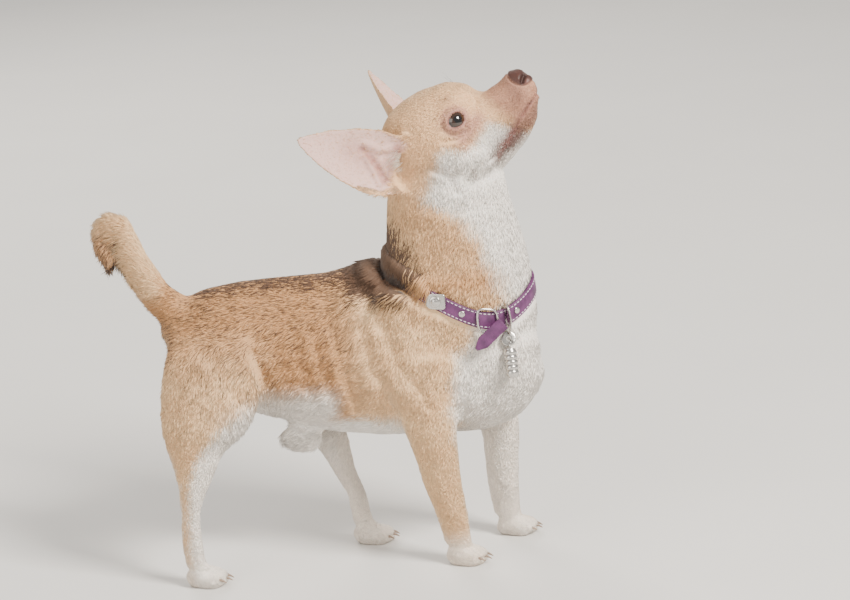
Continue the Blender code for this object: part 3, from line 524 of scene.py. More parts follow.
def white_amount(points, head):
    """White of the cheek, throat, chest, belly, groin, feet and the inner sides of the legs."""
    x, y, z = points.T
    wave = ripple(points, 9) * 3
    chest = step(-8, 8, x - border(z, CHEST_BORDER) + wave * 1.4) * step(76, 92, z) * step(285, 270, z)
    belly = step(112, 99, z + wave) * step(80, 87, z) * step(54, 40, x) * step(-56, -36, x)
    belly = belly * step(20, 14, y)
    tuck = step(104, 94, z) * step(-40, -34, y) * step(8, 2, y) * step(-70, -50, x)
    cheek = step(5, -5, head[:, 2] - border(head[:, 0], CHEEK_BORDER) + wave * 0.7)
    cheek = cheek * step(HEAD_FLOOR, FACE_FLOOR, z) * step(-34, -24, head[:, 0])
    inner_fore = step(-4, 3, y + 42) * step(9, 3, y - 9)
    inner_hind = step(-4, 3, y + 51) * step(9, 3, y - 12)
    inner = 0.85 * step(104, 84, z) * np.where(x > 20, inner_fore, inner_hind)
    ahead_of_shin = x - border(z, SHIN_BORDER) + wave * 0.5
    shin = 0.95 * step(-4, 4, ahead_of_shin) * step(138, 118, z) * step(15, 0, x) * step(16, 10, y)
    far_shin = 0.95 * step(-4, 4, ahead_of_shin - FAR_LEG_AHEAD) * step(128, 108, z)
    far_shin = far_shin * step(10, 16, y) * step(75, 68, x)
    feet = 0.75 * step(30, 10, z)
    groin = near_line(points, [(-62, -50, 112), (-45, -42, 108)], 9)
    return np.max([chest, belly, tuck, cheek, inner, shin, far_shin, feet, groin], axis=0)


def cream_amount(points):
    """Cream of the shoulder, thigh, neck, legs and tail."""
    x, y, z = points.T
    shoulder = 0.97 * step(2, 34, x) * step(206, 184, z)
    thigh = 0.95 * step(-24, -58, x) * step(182, 140, z)
    far_thigh = 0.8 * step(150, 125, z) * step(14, 20, y) * step(60, 40, x)
    neck = 0.65 * step(196, 215, z) * step(0, 40, x)
    legs = 0.8 * step(100, 80, z)
    tail = 0.95 * step(-104, -112, x) * step(190, 202, z)
    pale = np.max([shoulder, thigh, far_thigh, neck, legs, tail], axis=0)
    return pale * (0.82 + 0.18 * ripple(points, 14))


def coat_tint(points, sable):
    """The coat's colour at points; the same rule paints the skin and every tuft."""
    head = in_head(points)
    mirrored = mirror(head)
    forward, up = head[:, 0], head[:, 2]
    x, _, z = points.T
    on_head = step(HEAD_FLOOR, 266, z) * step(-46, -36, forward)
    tint = blend_colour(np.tile(FAWN, (len(points), 1)), CREAM, cream_amount(points))
    tint = blend_colour(tint, HEAD_FAWN, on_head * 0.9)
    tail_end = step(-132, -144, x) * step(205, 215, z) * step(252, 236, z)
    tint = blend_colour(tint, TAIL_TAN, tail_end * 0.8)
    tint = blend_colour(tint, WHITE, white_amount(points, head))
    muzzle = step(40, 52, forward + 0.25 * up) * step(-46, -40, up)
    tint = blend_colour(tint, MUZZLE, on_head * 0.85 * muzzle)
    from_eye = np.linalg.norm(mirrored - EYE_AT, axis=1)
    tint = blend_colour(tint, LID_PINK, on_head * 0.85 * step(LID_REACH, 9.5, from_eye))
    for colour, strength, line, reach in FACE_PATCHES:
        tint = blend_colour(tint, colour, on_head * strength * near_line(mirrored, line, reach))
    return blend_colour(tint, SABLE, sable)


def skin_tint(points, ear_inside, ear_rim, lid_edge):
    """The coat's markings, the bare leather of nose, lips, lids and ears, and painted shade in their
    hollows.
    """
    tint = coat_tint(points, sable_amount(points))
    head = in_head(points)
    mirrored = mirror(head)
    # Where the ears' folds and the cup at their root get reddish skin darkened as painted shade.
    fold_red_and_shade = np.zeros(len(points))
    for side in (RIGHT, LEFT):
        place, v, _, _ = across_ear(head, side)
        uv = np.stack((place * EAR_LONG, v * EAR_HALF), 1)
        fold = np.maximum(near_line(uv, EAR_FOLD, 2.2), near_line(uv, [(7, -12), (-1, -4)], 2.5))
        fold = np.maximum(fold, 0.45 * near_line(uv, [(34, -3), (16, 1), (4, 6)], 6.5))
        fold_red_and_shade = np.maximum(fold_red_and_shade, fold * (side * head[:, 1] > 14))
    bare = ear_inside * step(1.0, 0.2, ear_rim)
    tint = blend_colour(tint, EAR_PINK, bare * 0.92)
    # Painted shade: the folds and the cup at the ear's root, in reddish skin darkened to a deep red-brown.
    tint = blend_colour(tint, EAR_FOLD_RED_AND_SHADE, bare * fold_red_and_shade * 0.85 * (0.8 + 0.3 * ripple(points, 2)))
    on_head = (points[:, 2] > FACE_FLOOR).astype(float)
    tint = blend_colour(tint, LID_EDGE, lid_edge * on_head * 0.9)
    # Painted shade: the sunk slit between the lips darkened to near black.
    slit = near_line(mirrored, MOUTH_LINE, 0.8) * on_head
    tint = blend_colour(tint, SLIT_SHADE, slit * 0.9)
    leather = step(1.05, 0.97, nose_pad(head)) * on_head
    tint = blend_colour(tint, NOSE, leather)
    wings = near_line(mirrored, [(76.5, 4.5, -18.4), (73.5, 7, -19)], 1.2)
    tint = blend_colour(tint, NOSE_WING, leather * wings * 0.6)
    # Painted shade: the sunk nostrils filled with near black.
    nostril = near_line(mirrored, NOSTRIL, 1.3) * step(0.8, 1.6, mirrored[:, 1])
    tint = blend_colour(tint, NOSTRIL_SHADE, nostril * on_head)
    return tint, leather, bare, slit


# The hide's finish: matt skin in the coat's colours, which shows between the hairs, and moist leather on
# nose, lips and lids. A fine grain of short hairs is painted and raised on it.
def set_colours(mesh, name, colours):
    layer = mesh.color_attributes.new(name, "FLOAT_COLOR", "POINT")
    layer.data.foreach_set("color", np.hstack((colours, np.ones((len(colours), 1)))).ravel())


def unwrap(ob):
    """Lays the skin's own shape out flat."""
    bpy.context.view_layer.objects.active = ob
    ob.select_set(True)
    ob.data.uv_layers.new(name="OFBake")
    bpy.ops.object.mode_set(mode="EDIT")
    bpy.ops.mesh.select_all(action="SELECT")
    bpy.ops.uv.smart_project(angle_limit=math.radians(72), island_margin=0.002)
    bpy.ops.object.mode_set(mode="OBJECT")
    ob.select_set(False)


def new_material(name):
    mat = bpy.data.materials.new(name)
    mat.use_nodes = True
    shader = mat.node_tree.nodes["Principled BSDF"]
    return mat, mat.node_tree.nodes, mat.node_tree.links, shader


def set_inputs(node, values):
    for socket, value in values.items():
        node.inputs[socket].default_value = value


def new_group(name, colours_in, values_in, colours_out, values_out):
    """An empty shader group with named sockets, its input and its output."""
    group = bpy.data.node_groups.new(name, "ShaderNodeTree")
    for names, way, kind in (
        (colours_in, "INPUT", "NodeSocketColor"),
        (values_in, "INPUT", "NodeSocketFloat"),
        (colours_out, "OUTPUT", "NodeSocketColor"),
        (values_out, "OUTPUT", "NodeSocketFloat"),
    ):
        for socket in names:
            group.interface.new_socket(name=socket, in_out=way, socket_type=kind)
    nodes = group.nodes
    return group, nodes, group.links, nodes.new("NodeGroupInput"), nodes.new("NodeGroupOutput")


def hair_grain():
    """A shader group: short fine streaks of light and dark in the tint, and the height of the hairs."""
    group, nodes, links, given, made = new_group(
        "hair_grain", ["Tint"], ["Scale", "Contrast"], ["Colour"], ["Height"]
    )
    place = nodes.new("ShaderNodeTexCoord")
    stretch = nodes.new("ShaderNodeMapping")
    stretch.inputs["Scale"].default_value = (0.45, 1.0, 0.6)
    grain = nodes.new("ShaderNodeTexNoise")
    grain.inputs["Detail"].default_value = 5
    spread = nodes.new("ShaderNodeMapRange")
    set_inputs(spread, {"From Min": 0.25, "From Max": 0.75})
    low = nodes.new("ShaderNodeMath")
    low.operation = "SUBTRACT"
    low.inputs[0].default_value = 1.0
    high = nodes.new("ShaderNodeMath")
    high.operation = "ADD"
    high.inputs[0].default_value = 1.0
    scaled = nodes.new("ShaderNodeVectorMath")
    scaled.operation = "SCALE"
    links.new(place.outputs["Object"], stretch.inputs["Vector"])
    links.new(stretch.outputs["Vector"], grain.inputs["Vector"])
    links.new(given.outputs["Scale"], grain.inputs["Scale"])
    links.new(grain.outputs["Fac"], spread.inputs["Value"])
    links.new(given.outputs["Contrast"], low.inputs[1])
    links.new(given.outputs["Contrast"], high.inputs[1])
    links.new(low.outputs[0], spread.inputs["To Min"])
    links.new(high.outputs[0], spread.inputs["To Max"])
    links.new(given.outputs["Tint"], scaled.inputs[0])
    links.new(spread.outputs["Result"], scaled.inputs["Scale"])
    links.new(scaled.outputs["Vector"], made.inputs["Colour"])
    links.new(grain.outputs["Fac"], made.inputs["Height"])
    return group


HAIR_GRAIN = hair_grain()


def grained(nodes, links, shader, attribute, scale, contrast, bump):
    """Feeds a named tint through the hair grain to the shader's colour and normal."""
    tint = nodes.new("ShaderNodeAttribute")
    tint.attribute_name = attribute
    grain = nodes.new("ShaderNodeGroup")
    grain.node_tree = HAIR_GRAIN
    set_inputs(grain, {"Scale": scale, "Contrast": contrast})
    relief = nodes.new("ShaderNodeBump")
    set_inputs(relief, {"Strength": bump, "Distance": 0.0004})
    links.new(tint.outputs["Color"], grain.inputs["Tint"])
    links.new(grain.outputs["Colour"], shader.inputs["Base Color"])
    links.new(grain.outputs["Height"], relief.inputs["Height"])
    links.new(relief.outputs["Normal"], shader.inputs["Normal"])


tint, nose, bare, slit = skin_tint(points, ear_inside, ear_rim, lid_edge)
set_colours(hide.data, "tint", tint)
wetness = np.clip(0.5 * nose + 0.6 * lid_edge + 0.5 * slit + 0.15 * bare, 0, 1)
set_colours(hide.data, "wetness", np.repeat(wetness[:, None], 3, axis=1))
unwrap(hide)
skin, nodes, links, shader = new_material("skin")
set_inputs(shader, {
    "Specular IOR Level": 0.35,
    "Subsurface Weight": 0.08,
    "Subsurface Radius": (0.004, 0.0015, 0.001),
})
grained(nodes, links, shader, "tint", 1300, 0.10, 0.35)
wet = nodes.new("ShaderNodeAttribute")
wet.attribute_name = "wetness"
dry = nodes.new("ShaderNodeMapRange")
set_inputs(dry, {"To Min": 0.72, "To Max": 0.22})
links.new(wet.outputs["Fac"], dry.inputs["Value"])
links.new(dry.outputs["Result"], shader.inputs["Roughness"])
hide.data.materials.append(skin)
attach(hide, "root")
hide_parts(*FLESH)


# Coat.
# Short smooth hair in small tapered tufts that grow from the skin, overlap and lie back along the body,
# longest at the nape, groin and tail and shortest on the face and feet. Each tuft is a closed ridged sliver,
# with painted shade towards its roots.
MIDLINE = -14.6
LIE_REACH, HEAD_LIE_REACH = 15.0, 9.0
TUFTS_PER_PIECE = 48000
# Half the side of the patch that a tuft has in the skin's unwrap.
PATCH = 0.0015
# How light a tuft is at its two root corners, along its ridge and at its tip: painted shade darkens its
# roots among the hairs, and its tip is a little lighter.
TUFT_PAINTED_SHADE = np.array((0.82, 0.82, 1.0, 1.08))
STRAP_CLEARANCE = 2.3
# Long hair over the strap at the nape: how far above the strap it starts, and how far forward it goes.
NAPE_REACH, NAPE_END = 7.0, 71.0
NAPE_LONG, NAPE_LIFT = (13, 19), (2.6, 4.2)
# Where, which way the hair points, and how long it is; rows off the midline count on both sides.
LIE = [
    (-80, -14.6, 202, -1, 0, -0.1, 6.5),
    (-20, -14.6, 203, -1, 0, -0.05, 7),
    (30, -14.6, 205, -1, 0, -0.2, 8.5),
    (-40, -46, 160, -1, 0, -0.45, 6.5),
    (10, -50, 150, -0.9, 0, -0.6, 6.5),
    (-20, -35, 110, -0.85, 0.1, -0.6, 6.5),
    (0, -14.6, 86, -1, 0, -0.1, 8),
    (-105, -20, 185, -0.8, 0, -0.7, 6.5),
    (-80, -58, 140, -0.35, 0, -1, 6),
    (-110, -35, 125, -0.2, 0.1, -1, 7.5),
    (-96, -50, 80, -0.25, 0, -1, 4.5),
    (-100, -50, 34, 0.05, 0, -1, 3),
    (-90, -50, 8, 0.8, 0, -0.6, 2.2),
    (10, 15, 60, -0.2, 0, -1, 3.5),
    (20, 15, 8, 0.8, 0, -0.6, 2.2),
    (-48, -40, 112, 0.25, 0, -1, 9),
    (40, -56, 165, -0.5, 0, -1, 6.5),
    (75, -55, 150, -0.3, 0, -1, 5.5),
    (70, -46, 110, -0.2, 0, -1, 5),
    (75, -42, 60, -0.1, 0, -1, 3.8),
    (86, -41, 8, 0.8, 0, -0.6, 2.2),
    (114, 13, 60, -0.1, 0, -1, 3.8),
    (122, 13, 8, 0.8, 0, -0.6, 2.2),
    (142, -20, 160, -0.1, 0, -1, 6.5),
    (110, -16, 105, -0.6, 0, -0.7, 7),
    (80, -48, 230, -0.3, 0, -1, 6),
    (100, -47, 255, -0.25, 0, -1, 5.5),
    (45, -15, 235, -0.1, 0, -1, 8),
    (50, -28, 204, -0.6, -0.2, -0.8, 9.5),
    (140, -17, 215, -0.1, 0, -1, 7.5),
    (-102, -14, 180, -0.5, 0, 0.8, 5.5),
    (-124, -13, 222, -0.45, 0, 0.9, 6.5),
    (-137, -12, 250, -1, 0, 0.2, 8),
    (-145, -11, 232, -0.1, 0, -1, 10),
    (-143, -11, 216, 0.1, 0, -1, 11),
]
# The same on the head, forward, left and up of it.
HEAD_LIE = [
    (62, -4, -8, -1, 0, 0.1, 1.6),
    (60, -11, -22, -0.9, 0, -0.5, 1.8),
    (40, -10, -4, -1, 0, 0.3, 2.0),
    (15, -8, 21, -1, 0, 0.2, 2.8),
    (5, -28, 0, -0.9, -0.2, -0.3, 3.0),
    (30, -19, -20, -0.7, 0, -0.7, 2.2),
    (0, -32, -22, -0.6, 0, -1, 4.0),
    (10, -25, -40, -0.7, 0, -0.9, 5.0),
    (25, -8, -54, -1, 0, -0.5, 5.5),
    (48, -8, -46, -1, 0, -0.3, 3.0),
    (-36, -4, -5, -0.6, 0, -1, 5.0),
    (-24, -27, 0, -0.3, -0.6, 0.5, 2.4),
    (-33, -42, 22, -0.27, -0.55, 0.79, 2.0),
    (-42, -60, 46, -0.27, -0.55, 0.79, 1.8),
]


def lie_rows():
    """Place, direction, length and reach of every row, of both sides."""
    rows = []
    for x, y, z, dx, dy, dz, long in LIE:
        rows.append((x, y, z, dx, dy, dz, long, LIE_REACH))
        if y < -16:
            rows.append((x, 2 * MIDLINE - y, z, dx, -dy, dz, long, LIE_REACH))
    for f, l, u, df, dl, du, long in HEAD_LIE:
        for side in (RIGHT, LEFT):
            place = HEAD_AT + HEAD_TURN @ np.array((f, -side * l, u))
            way = HEAD_TURN @ np.array((df, -side * dl, du))
            rows.append((*place, *way, long, HEAD_LIE_REACH))
    return np.array(rows)


def lie_of_coat(points):
    """Direction and length of the hair at each point."""
    way = np.zeros((len(points), 3))
    total = np.zeros(len(points))
    long = np.zeros(len(points))
    for *row, row_long, reach in lie_rows():
        spot, toward = np.array(row[:3]), np.array(row[3:])
        away = np.sum((points - spot) ** 2, axis=1)
        weight = np.exp(-away / (2 * reach**2)) + 1e-12 / (1 + away)
        total += weight
        way += weight[:, None] * toward / np.linalg.norm(toward)
        long += weight * row_long
    return way / total[:, None], long / total


def triangles_of(mesh):
    """Every triangle's three points, and its three corners in the unwrap."""
    mesh.calc_loop_triangles()
    return [rows_of(mesh.loop_triangles, field, 3, int) for field in ("vertices", "loops")]


def tree_of(mesh):
    """The mesh as a tree of triangles in millimetres, for finding its nearest point."""
    corners, _ = mesh_arrays(mesh)
    return BVHTree.FromPolygons([Vector(c) for c in corners], [tuple(t) for t in triangles_of(mesh)[0]])


def unit(vectors):
    return vectors / np.maximum(np.linalg.norm(vectors, axis=1), 1e-9)[:, None]


def grow_roots(skin_points, skin_normals, bareness, thickness):
    """Roots of the tufts, spread at random over the skin, closer where hair is short and at the nape."""
    verts, loops = triangles_of(hide.data)
    uv = rows_of(hide.data.uv_layers["OFBake"].data, "uv", 2)
    a, b, c = (skin_points[verts[:, i]] for i in range(3))
    area = np.linalg.norm(np.cross(b - a, c - a), axis=1) / 2
    middle = (a + b + c) / 3
    way, long = lie_of_coat(middle)
    share = (1.2 + 2.0 * step(6, 2.2, long)) * thickness * (1 - bareness[verts].mean(axis=1))
    x, _, z = middle.T
    at_nape = step(75, 66, x) * step(30, 38, x) * step(188, 194, z) * step(232, 224, z)
    share *= 1 + 2.2 * at_nape
    wanted = area * share
    rng = np.random.default_rng(5)
    counts = np.floor(wanted + rng.random(len(wanted))).astype(int)
    which = np.repeat(np.arange(len(wanted)), counts)
    r1, r2 = np.sqrt(rng.random(len(which))), rng.random(len(which))
    weights = np.stack((1 - r1, r1 * (1 - r2), r1 * r2), 1)
    roots = np.einsum("nk,nkd->nd", weights, skin_points[verts[which]])
    normals = unit(np.einsum("nk,nkd->nd", weights, skin_normals[verts[which]]))
    root_uv = np.einsum("nk,nkd->nd", weights, uv[loops[which]])
    return roots, normals, way[which], long[which], root_uv, rng


def clear_of_strap(roots, rng):
    """Which roots stay, as none grow under the strap, and which carry the long hair above it."""
    strap_tree = tree_of(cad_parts["collar_strap"].data)
    keep = roots[:, 2] > 1.2
    over = np.zeros(len(roots))
    close = np.flatnonzero((roots[:, 2] > 160) & (roots[:, 2] < 235) & (roots[:, 0] > 30))
    for i in close:
        spot, _, _, gap = strap_tree.find_nearest(Vector(roots[i]), 9)
        if spot is None:
            continue
        keep[i] = gap > STRAP_CLEARANCE
        if roots[i, 2] > spot.z and gap < NAPE_REACH:
            over[i] = roots[i, 0] < NAPE_END + rng.normal(0, 2)
    return keep, over


def lay_tufts(name, roots, normals, way, long, over, root_uv, rng):
    """One piece of the coat: a ridged sliver for each root."""
    count = len(roots)
    way = unit(way - normals * np.sum(way * normals, axis=1)[:, None])
    side = np.cross(normals, way)
    swing = 0.28 * ripple(roots, 5.0) + rng.normal(0, 0.13, count)
    way = unit(way + side * swing[:, None])
    side = np.cross(normals, way)
    long = long * rng.uniform(0.7, 1.15, count)
    wide = (0.14 + 0.028 * long) * rng.uniform(0.8, 1.2, count)
    lift = (0.16 + 0.055 * long) * rng.uniform(0.6, 1.35, count)
    long = np.where(over > 0, rng.uniform(*NAPE_LONG, count), long)
    lift = np.where(over > 0, rng.uniform(*NAPE_LIFT, count), lift)
    sunk = roots - normals * 0.25
    left = sunk - side * wide[:, None]
    right = sunk + side * wide[:, None]
    ridge = roots + way * (long * 0.42)[:, None] + normals * (lift * 1.05)[:, None]
    tip = roots + way * long[:, None] + normals * (lift * 0.85)[:, None]
    points = np.stack((left, right, ridge, tip), 1).reshape(-1, 3)
    points[:, 2] = np.maximum(points[:, 2], 0.05)
    first = (np.arange(count) * 4)[:, None, None]
    faces = (first + np.array([(0, 1, 2), (0, 2, 3), (2, 1, 3), (1, 0, 3)])).reshape(-1, 3)
    mesh = bpy.data.meshes.new(name)
    mesh.vertices.add(len(points))
    mesh.vertices.foreach_set("co", (points * MM).ravel())
    mesh.loops.add(faces.size)
    mesh.loops.foreach_set("vertex_index", faces.ravel().astype(np.int32))
    mesh.polygons.add(len(faces))
    mesh.polygons.foreach_set("loop_start", np.arange(0, faces.size, 3, dtype=np.int32))
    mesh.update()
    dark = (rng.random(count) < sable_amount(roots) * 1.08).astype(float)
    tint = coat_tint(roots + rng.normal(0, 1.8, roots.shape), dark * 0.93)
    tint = tint * rng.uniform(0.88, 1.1, count)[:, None]
    # Painted shade: each tuft darker at its root corners, and a little lighter at its tip.
    set_colours(mesh, "tint", (tint[:, None, :] * TUFT_PAINTED_SHADE[None, :, None]).reshape(-1, 3))
    spread = np.array([(-PATCH, -PATCH), (PATCH, -PATCH), (0.0, 0.0), (0.0, PATCH)])
    uv = (root_uv[:, None, :] + spread[None]).reshape(-1, 2)
    layer = mesh.uv_layers.new(name="OFBake")
    layer.data.foreach_set("uv", uv[faces.ravel()].ravel())
    mesh.materials.append(fur)
    ob = new_object(name, mesh)
    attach(ob, "root")


fur, nodes, links, shader = new_material("fur")
set_inputs(
    shader, {"Roughness": 0.62, "Specular IOR Level": 0.3, "Sheen Weight": 0.12, "Sheen Roughness": 0.5}
)
grained(nodes, links, shader, "tint", 900, 0.08, 0.1)
normals = rows_of(hide.data.vertices, "normal", 3)
hairless = np.clip(nose + 0.93 * bare + 0.9 * lid_edge * (points[:, 2] > FACE_FLOOR) + slit, 0, 1)
thickness = 1.0
roots, root_normals, way, long, root_uv, rng = grow_roots(points, normals, hairless, thickness)
keep, over = clear_of_strap(roots, rng)
roots, root_normals, way, long, over, root_uv = (
    a[keep] for a in (roots, root_normals, way, long, over, root_uv)
)
region = 3000.0 * (roots[:, 2] > 245) - 3000.0 * (roots[:, 2] < 80)
order = np.argsort(roots[:, 0] + region, kind="stable")
pieces = math.ceil(len(order) / TUFTS_PER_PIECE)
for i, chosen in enumerate(np.array_split(order, pieces)):
    given = (a[chosen] for a in (roots, root_normals, way, long, over, root_uv))
    lay_tufts(f"coat_{i + 1}", *given, rng)


# Eyes.
# Wet dark globes with a deep brown iris and a slightly bulged front, held in their sockets by the lids.
# They look out to the sides and ahead.
def eye_colours(points, centre, gaze):
    """Black pupil, streaked brown iris, dark ring round it and pinkish white at the back."""
    arm = unit(points - centre)
    turn = np.degrees(np.arccos(np.clip(arm @ gaze, -1, 1)))
    rays = 0.5 + 0.5 * ripple(arm * 30, 2.0)
    iris = np.array((0.028, 0.011, 0.005)) * (0.5 + rays)[:, None]
    tint = np.where((turn < 20)[:, None], (0.002, 0.002, 0.0025), iris)
    tint = blend_colour(tint, (0.006, 0.003, 0.003), step(36, 43, turn))
    return blend_colour(tint, (0.36, 0.22, 0.18), 0.8 * step(48, 56, turn))


def make_eye(name, side):
    centre = HEAD_AT + HEAD_TURN @ (EYE_AT * (1, side, 1))
    gaze = HEAD_TURN @ (GAZE * (1, side, 1) / np.linalg.norm(GAZE))
    ball = bmesh.new()
    bmesh.ops.create_uvsphere(ball, u_segments=64, v_segments=48, radius=1.0)
    arm = np.array([v.co for v in ball.verts])
    bulge = 0.35 * np.exp(-((np.degrees(np.arccos(np.clip(arm @ gaze, -1, 1))) / 34) ** 4))
    points = centre + arm * (EYE_RADIUS - 0.2 + bulge)[:, None]
    for vert, point in zip(ball.verts, points):
        vert.co = point * MM
    mesh = bpy.data.meshes.new(name)
    ball.to_mesh(mesh)
    ball.free()
    set_colours(mesh, "tint", eye_colours(points, centre, gaze))
    mesh.shade_smooth()
    mesh.materials.append(eye_wet)
    ob = new_object(name, mesh)
    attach(ob, "root")
    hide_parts(name)


eye_wet, nodes, links, shader = new_material("eye_wet")
set_inputs(
    shader, {"Roughness": 0.04, "Specular IOR Level": 0.6, "Coat Weight": 0.6, "Coat Roughness": 0.02}
)
eye_tint = nodes.new("ShaderNodeAttribute")
eye_tint.attribute_name = "tint"
links.new(eye_tint.outputs["Color"], shader.inputs["Base Color"])
make_eye("eye_right", RIGHT)
make_eye("eye_left", LEFT)


# Claws.
# Short curved nails of mottled brown horn, four to each foot, growing out of the toes. They are the solids'
# own claws with their facets rounded off.
def smooth_copy(name, mat, crease=None):
    """The solid's own shape with its facets smoothed, or only its edges rounded, as wide as the crease."""
    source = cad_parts[name]
    mesh = source.data.copy()
    mesh.name = name + "_round"
    ob = new_object(name + "_round", mesh)
    ob.matrix_world = source.matrix_world
    bm = bmesh.new()
    bm.from_mesh(mesh)
    bmesh.ops.remove_doubles(bm, verts=bm.verts, dist=1e-6)
    bmesh.ops.dissolve_limit(bm, angle_limit=math.radians(1), verts=bm.verts, edges=bm.edges)
    bm.to_mesh(mesh)
    bm.free()
    if crease:
        bevel = ob.modifiers.new("bevel", "BEVEL")
        bevel.width = crease * MM
        bevel.segments = 3
        bevel.limit_method = "ANGLE"
        bevel.angle_limit = math.radians(50)
    else:
        rounding = ob.modifiers.new("rounding", "SUBSURF")
        rounding.levels = rounding.render_levels = 2
    settle(ob)
    ob.data.materials.clear()
    ob.data.materials.append(mat)
    ob.data.shade_smooth()
    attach(ob, "root")
    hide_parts(name)


def mottling():
    """A shader group: soft blotches fixed to the piece, between a dark and a light shade."""
    group, nodes, links, given, made = new_group(
        "mottling", ["Dark", "Light"], ["Scale", "From", "To"], ["Colour"], []
    )
    place = nodes.new("ShaderNodeTexCoord")
    noise = nodes.new("ShaderNodeTexNoise")
    share = nodes.new("ShaderNodeMapRange")
    mix = nodes.new("ShaderNodeMix")
    mix.data_type = "RGBA"
    mix_share, mix_dark, mix_light, mixed = mix.inputs[0], mix.inputs[6], mix.inputs[7], mix.outputs[2]
    links.new(place.outputs["Object"], noise.inputs["Vector"])
    links.new(given.outputs["Scale"], noise.inputs["Scale"])
    links.new(noise.outputs["Fac"], share.inputs["Value"])
    links.new(given.outputs["From"], share.inputs["From Min"])
    links.new(given.outputs["To"], share.inputs["From Max"])
    links.new(share.outputs["Result"], mix_share)
    links.new(given.outputs["Dark"], mix_dark)
    links.new(given.outputs["Light"], mix_light)
    links.new(mixed, made.inputs["Colour"])
    return group


MOTTLING = mottling()


def mottled(nodes, links, shader, dark, light, scale, start=0.0, end=1.0):
    """Feeds the blotches to the shader's colour."""
    blotches = nodes.new("ShaderNodeGroup")
    blotches.node_tree = MOTTLING
    set_inputs(
        blotches, {"Dark": (*dark, 1), "Light": (*light, 1), "Scale": scale, "From": start, "To": end}
    )
    links.new(blotches.outputs["Colour"], shader.inputs["Base Color"])


horn, nodes, links, shader = new_material("horn")
shader.inputs["Roughness"].default_value = 0.38
mottled(nodes, links, shader, (0.16, 0.10, 0.07), (0.42, 0.31, 0.23), 420)
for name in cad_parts:
    if name.startswith("claw_"):
        smooth_copy(name, horn)


# Whiskers and ear hairs.
# Single hairs, stiff and dark on the muzzle, over the eyes and on the mole of the cheek, and pale under the
# chin and in the front of the ears. Each grows from the skin and tapers to its tip.
def add_piece(name, points, faces, mat, replaced=None):
    """A mesh from points in millimetres and faces, as a piece of the model."""
    mesh = bpy.data.meshes.new(name)
    mesh.from_pydata([tuple(np.array(p) * MM) for p in points], [], faces)
    mesh.shade_smooth()
    mesh.materials.append(mat)
    ob = new_object(name, mesh)
    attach(ob, "root")
    if replaced:
        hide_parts(replaced)
    return ob


def ring_faces(rings, around, first=0, closed=False):
    """Squares between rings of points that follow one another, and a lid on both ends unless closed."""
    rows = rings if closed else rings - 1
    faces = []
    for ring in range(rows):
        here, there = first + ring * around, first + (ring + 1) % rings * around
        for k in range(around):
            beside = (k + 1) % around
            faces.append((here + k, here + beside, there + beside, there + k))
    if not closed:
        faces.append(tuple(first + k for k in reversed(range(around))))
        faces.append(tuple(first + (rings - 1) * around + k for k in range(around)))
    return faces


def hairs(name, strands, colour):
    """Tapered four-sided hairs; each has a root, a tip, how far the tip sags and a thickness."""
    points, faces = [], []
    rings, around = 7, 4
    for root, tip, sag, thick in strands:
        root, tip = np.array(root, float), np.array(tip, float)
        run = tip - root
        sides = unit(np.cross(run, [(0.3, 0.2, 1.0)]))[0]
        other = unit(np.cross(run, sides)[None])[0]
        faces += ring_faces(rings, around, len(points))
        for t in np.linspace(0, 1, rings):
            middle = root + run * t + np.array((0, 0, -sag)) * t * t
            radius = thick * (1 - 0.8 * t)
            for turn in np.arange(around) * math.tau / around:
                points.append(middle + (sides * math.cos(turn) + other * math.sin(turn)) * radius)
    mat, _, _, shader = new_material(name)
    set_inputs(shader, {"Base Color": (*colour, 1), "Roughness": 0.45})
    add_piece(name, points, faces, mat)


hide_tree = tree_of(hide.data)


def from_skin(f, l, u, way, long):
    """Root on the skin nearest a place in the head's frame, and tip along a direction."""
    root = np.array(hide_tree.find_nearest(Vector(HEAD_AT + HEAD_TURN @ np.array((f, l, u))))[0])
    way = HEAD_TURN @ np.array(way, float)
    return root, root + way / np.linalg.norm(way) * long


dark, light = [], []
hair_rng = np.random.default_rng(11)
for side in (RIGHT, LEFT):
    for row in range(3):
        for k in range(4):
            f, u = 63 - 6 * k - row, -20 - 3.2 * row - 1.5 * k
            droop = -0.35 - 0.22 * row + hair_rng.uniform(-0.1, 0.1)
            way = (-0.25 - 0.12 * k, side * (0.9 - 0.05 * row), droop)
            dark.append((*from_skin(f, side * 12, u, way, hair_rng.uniform(8, 15)), 1.5, 0.075))
    for way in ((-0.2, 0.35, 1), (-0.45, 0.45, 1)):
        way = (way[0], side * way[1], way[2])
        dark.append((*from_skin(29, side * 14, 7, way, 13), 0, 0.08))
    for k in range(4):
        way = (-0.3, side * 0.8, -0.5 - 0.1 * k)
        dark.append((*from_skin(13.3 + 0.8 * k, side * 25, -38.8 + 0.6 * k, way, 12), 2, 0.07))
    for k in range(3):
        way = (0.25 + 0.1 * k, side * 0.5, -1)
        light.append((*from_skin(22 + 3 * k, side * 10, -52, way, 17), -1, 0.07))
for _ in range(110):
    along, across = hair_rng.uniform(-3, 9), hair_rng.uniform(-13, -1)
    for side in (RIGHT, LEFT):
        axis = np.array(EAR_TIPS[side]) - EAR_ROOT
        wide = np.cross(axis, EAR_FACES[side])
        wide /= np.linalg.norm(wide)
        spot = (np.array(EAR_ROOT) + axis * along / EAR_LONG + wide * across) * (1, side, 1)
        lean = np.array(EAR_FACES[side]) * hair_rng.uniform(0.5, 1.1) + axis / 78 * 0.9
        lean = lean + wide * hair_rng.uniform(0.2, 0.9)
        light.append((*from_skin(*spot, lean * (1, side, 1), hair_rng.uniform(5, 10)), 0.6, 0.1))
hairs("whiskers_dark", dark, (0.03, 0.018, 0.014))
hairs("whiskers_light", light, (0.75, 0.70, 0.62))


# Collar strap.
# Purple dyed leather with rounded edges, a fine grain and two rows of pale stitches in shallow grooves.
# It lies round the neck through its own buckle, and its free end is cut to a point.
NECK_AXIS = np.array((92.7, -17.4))
STRAP_STEPS = 40
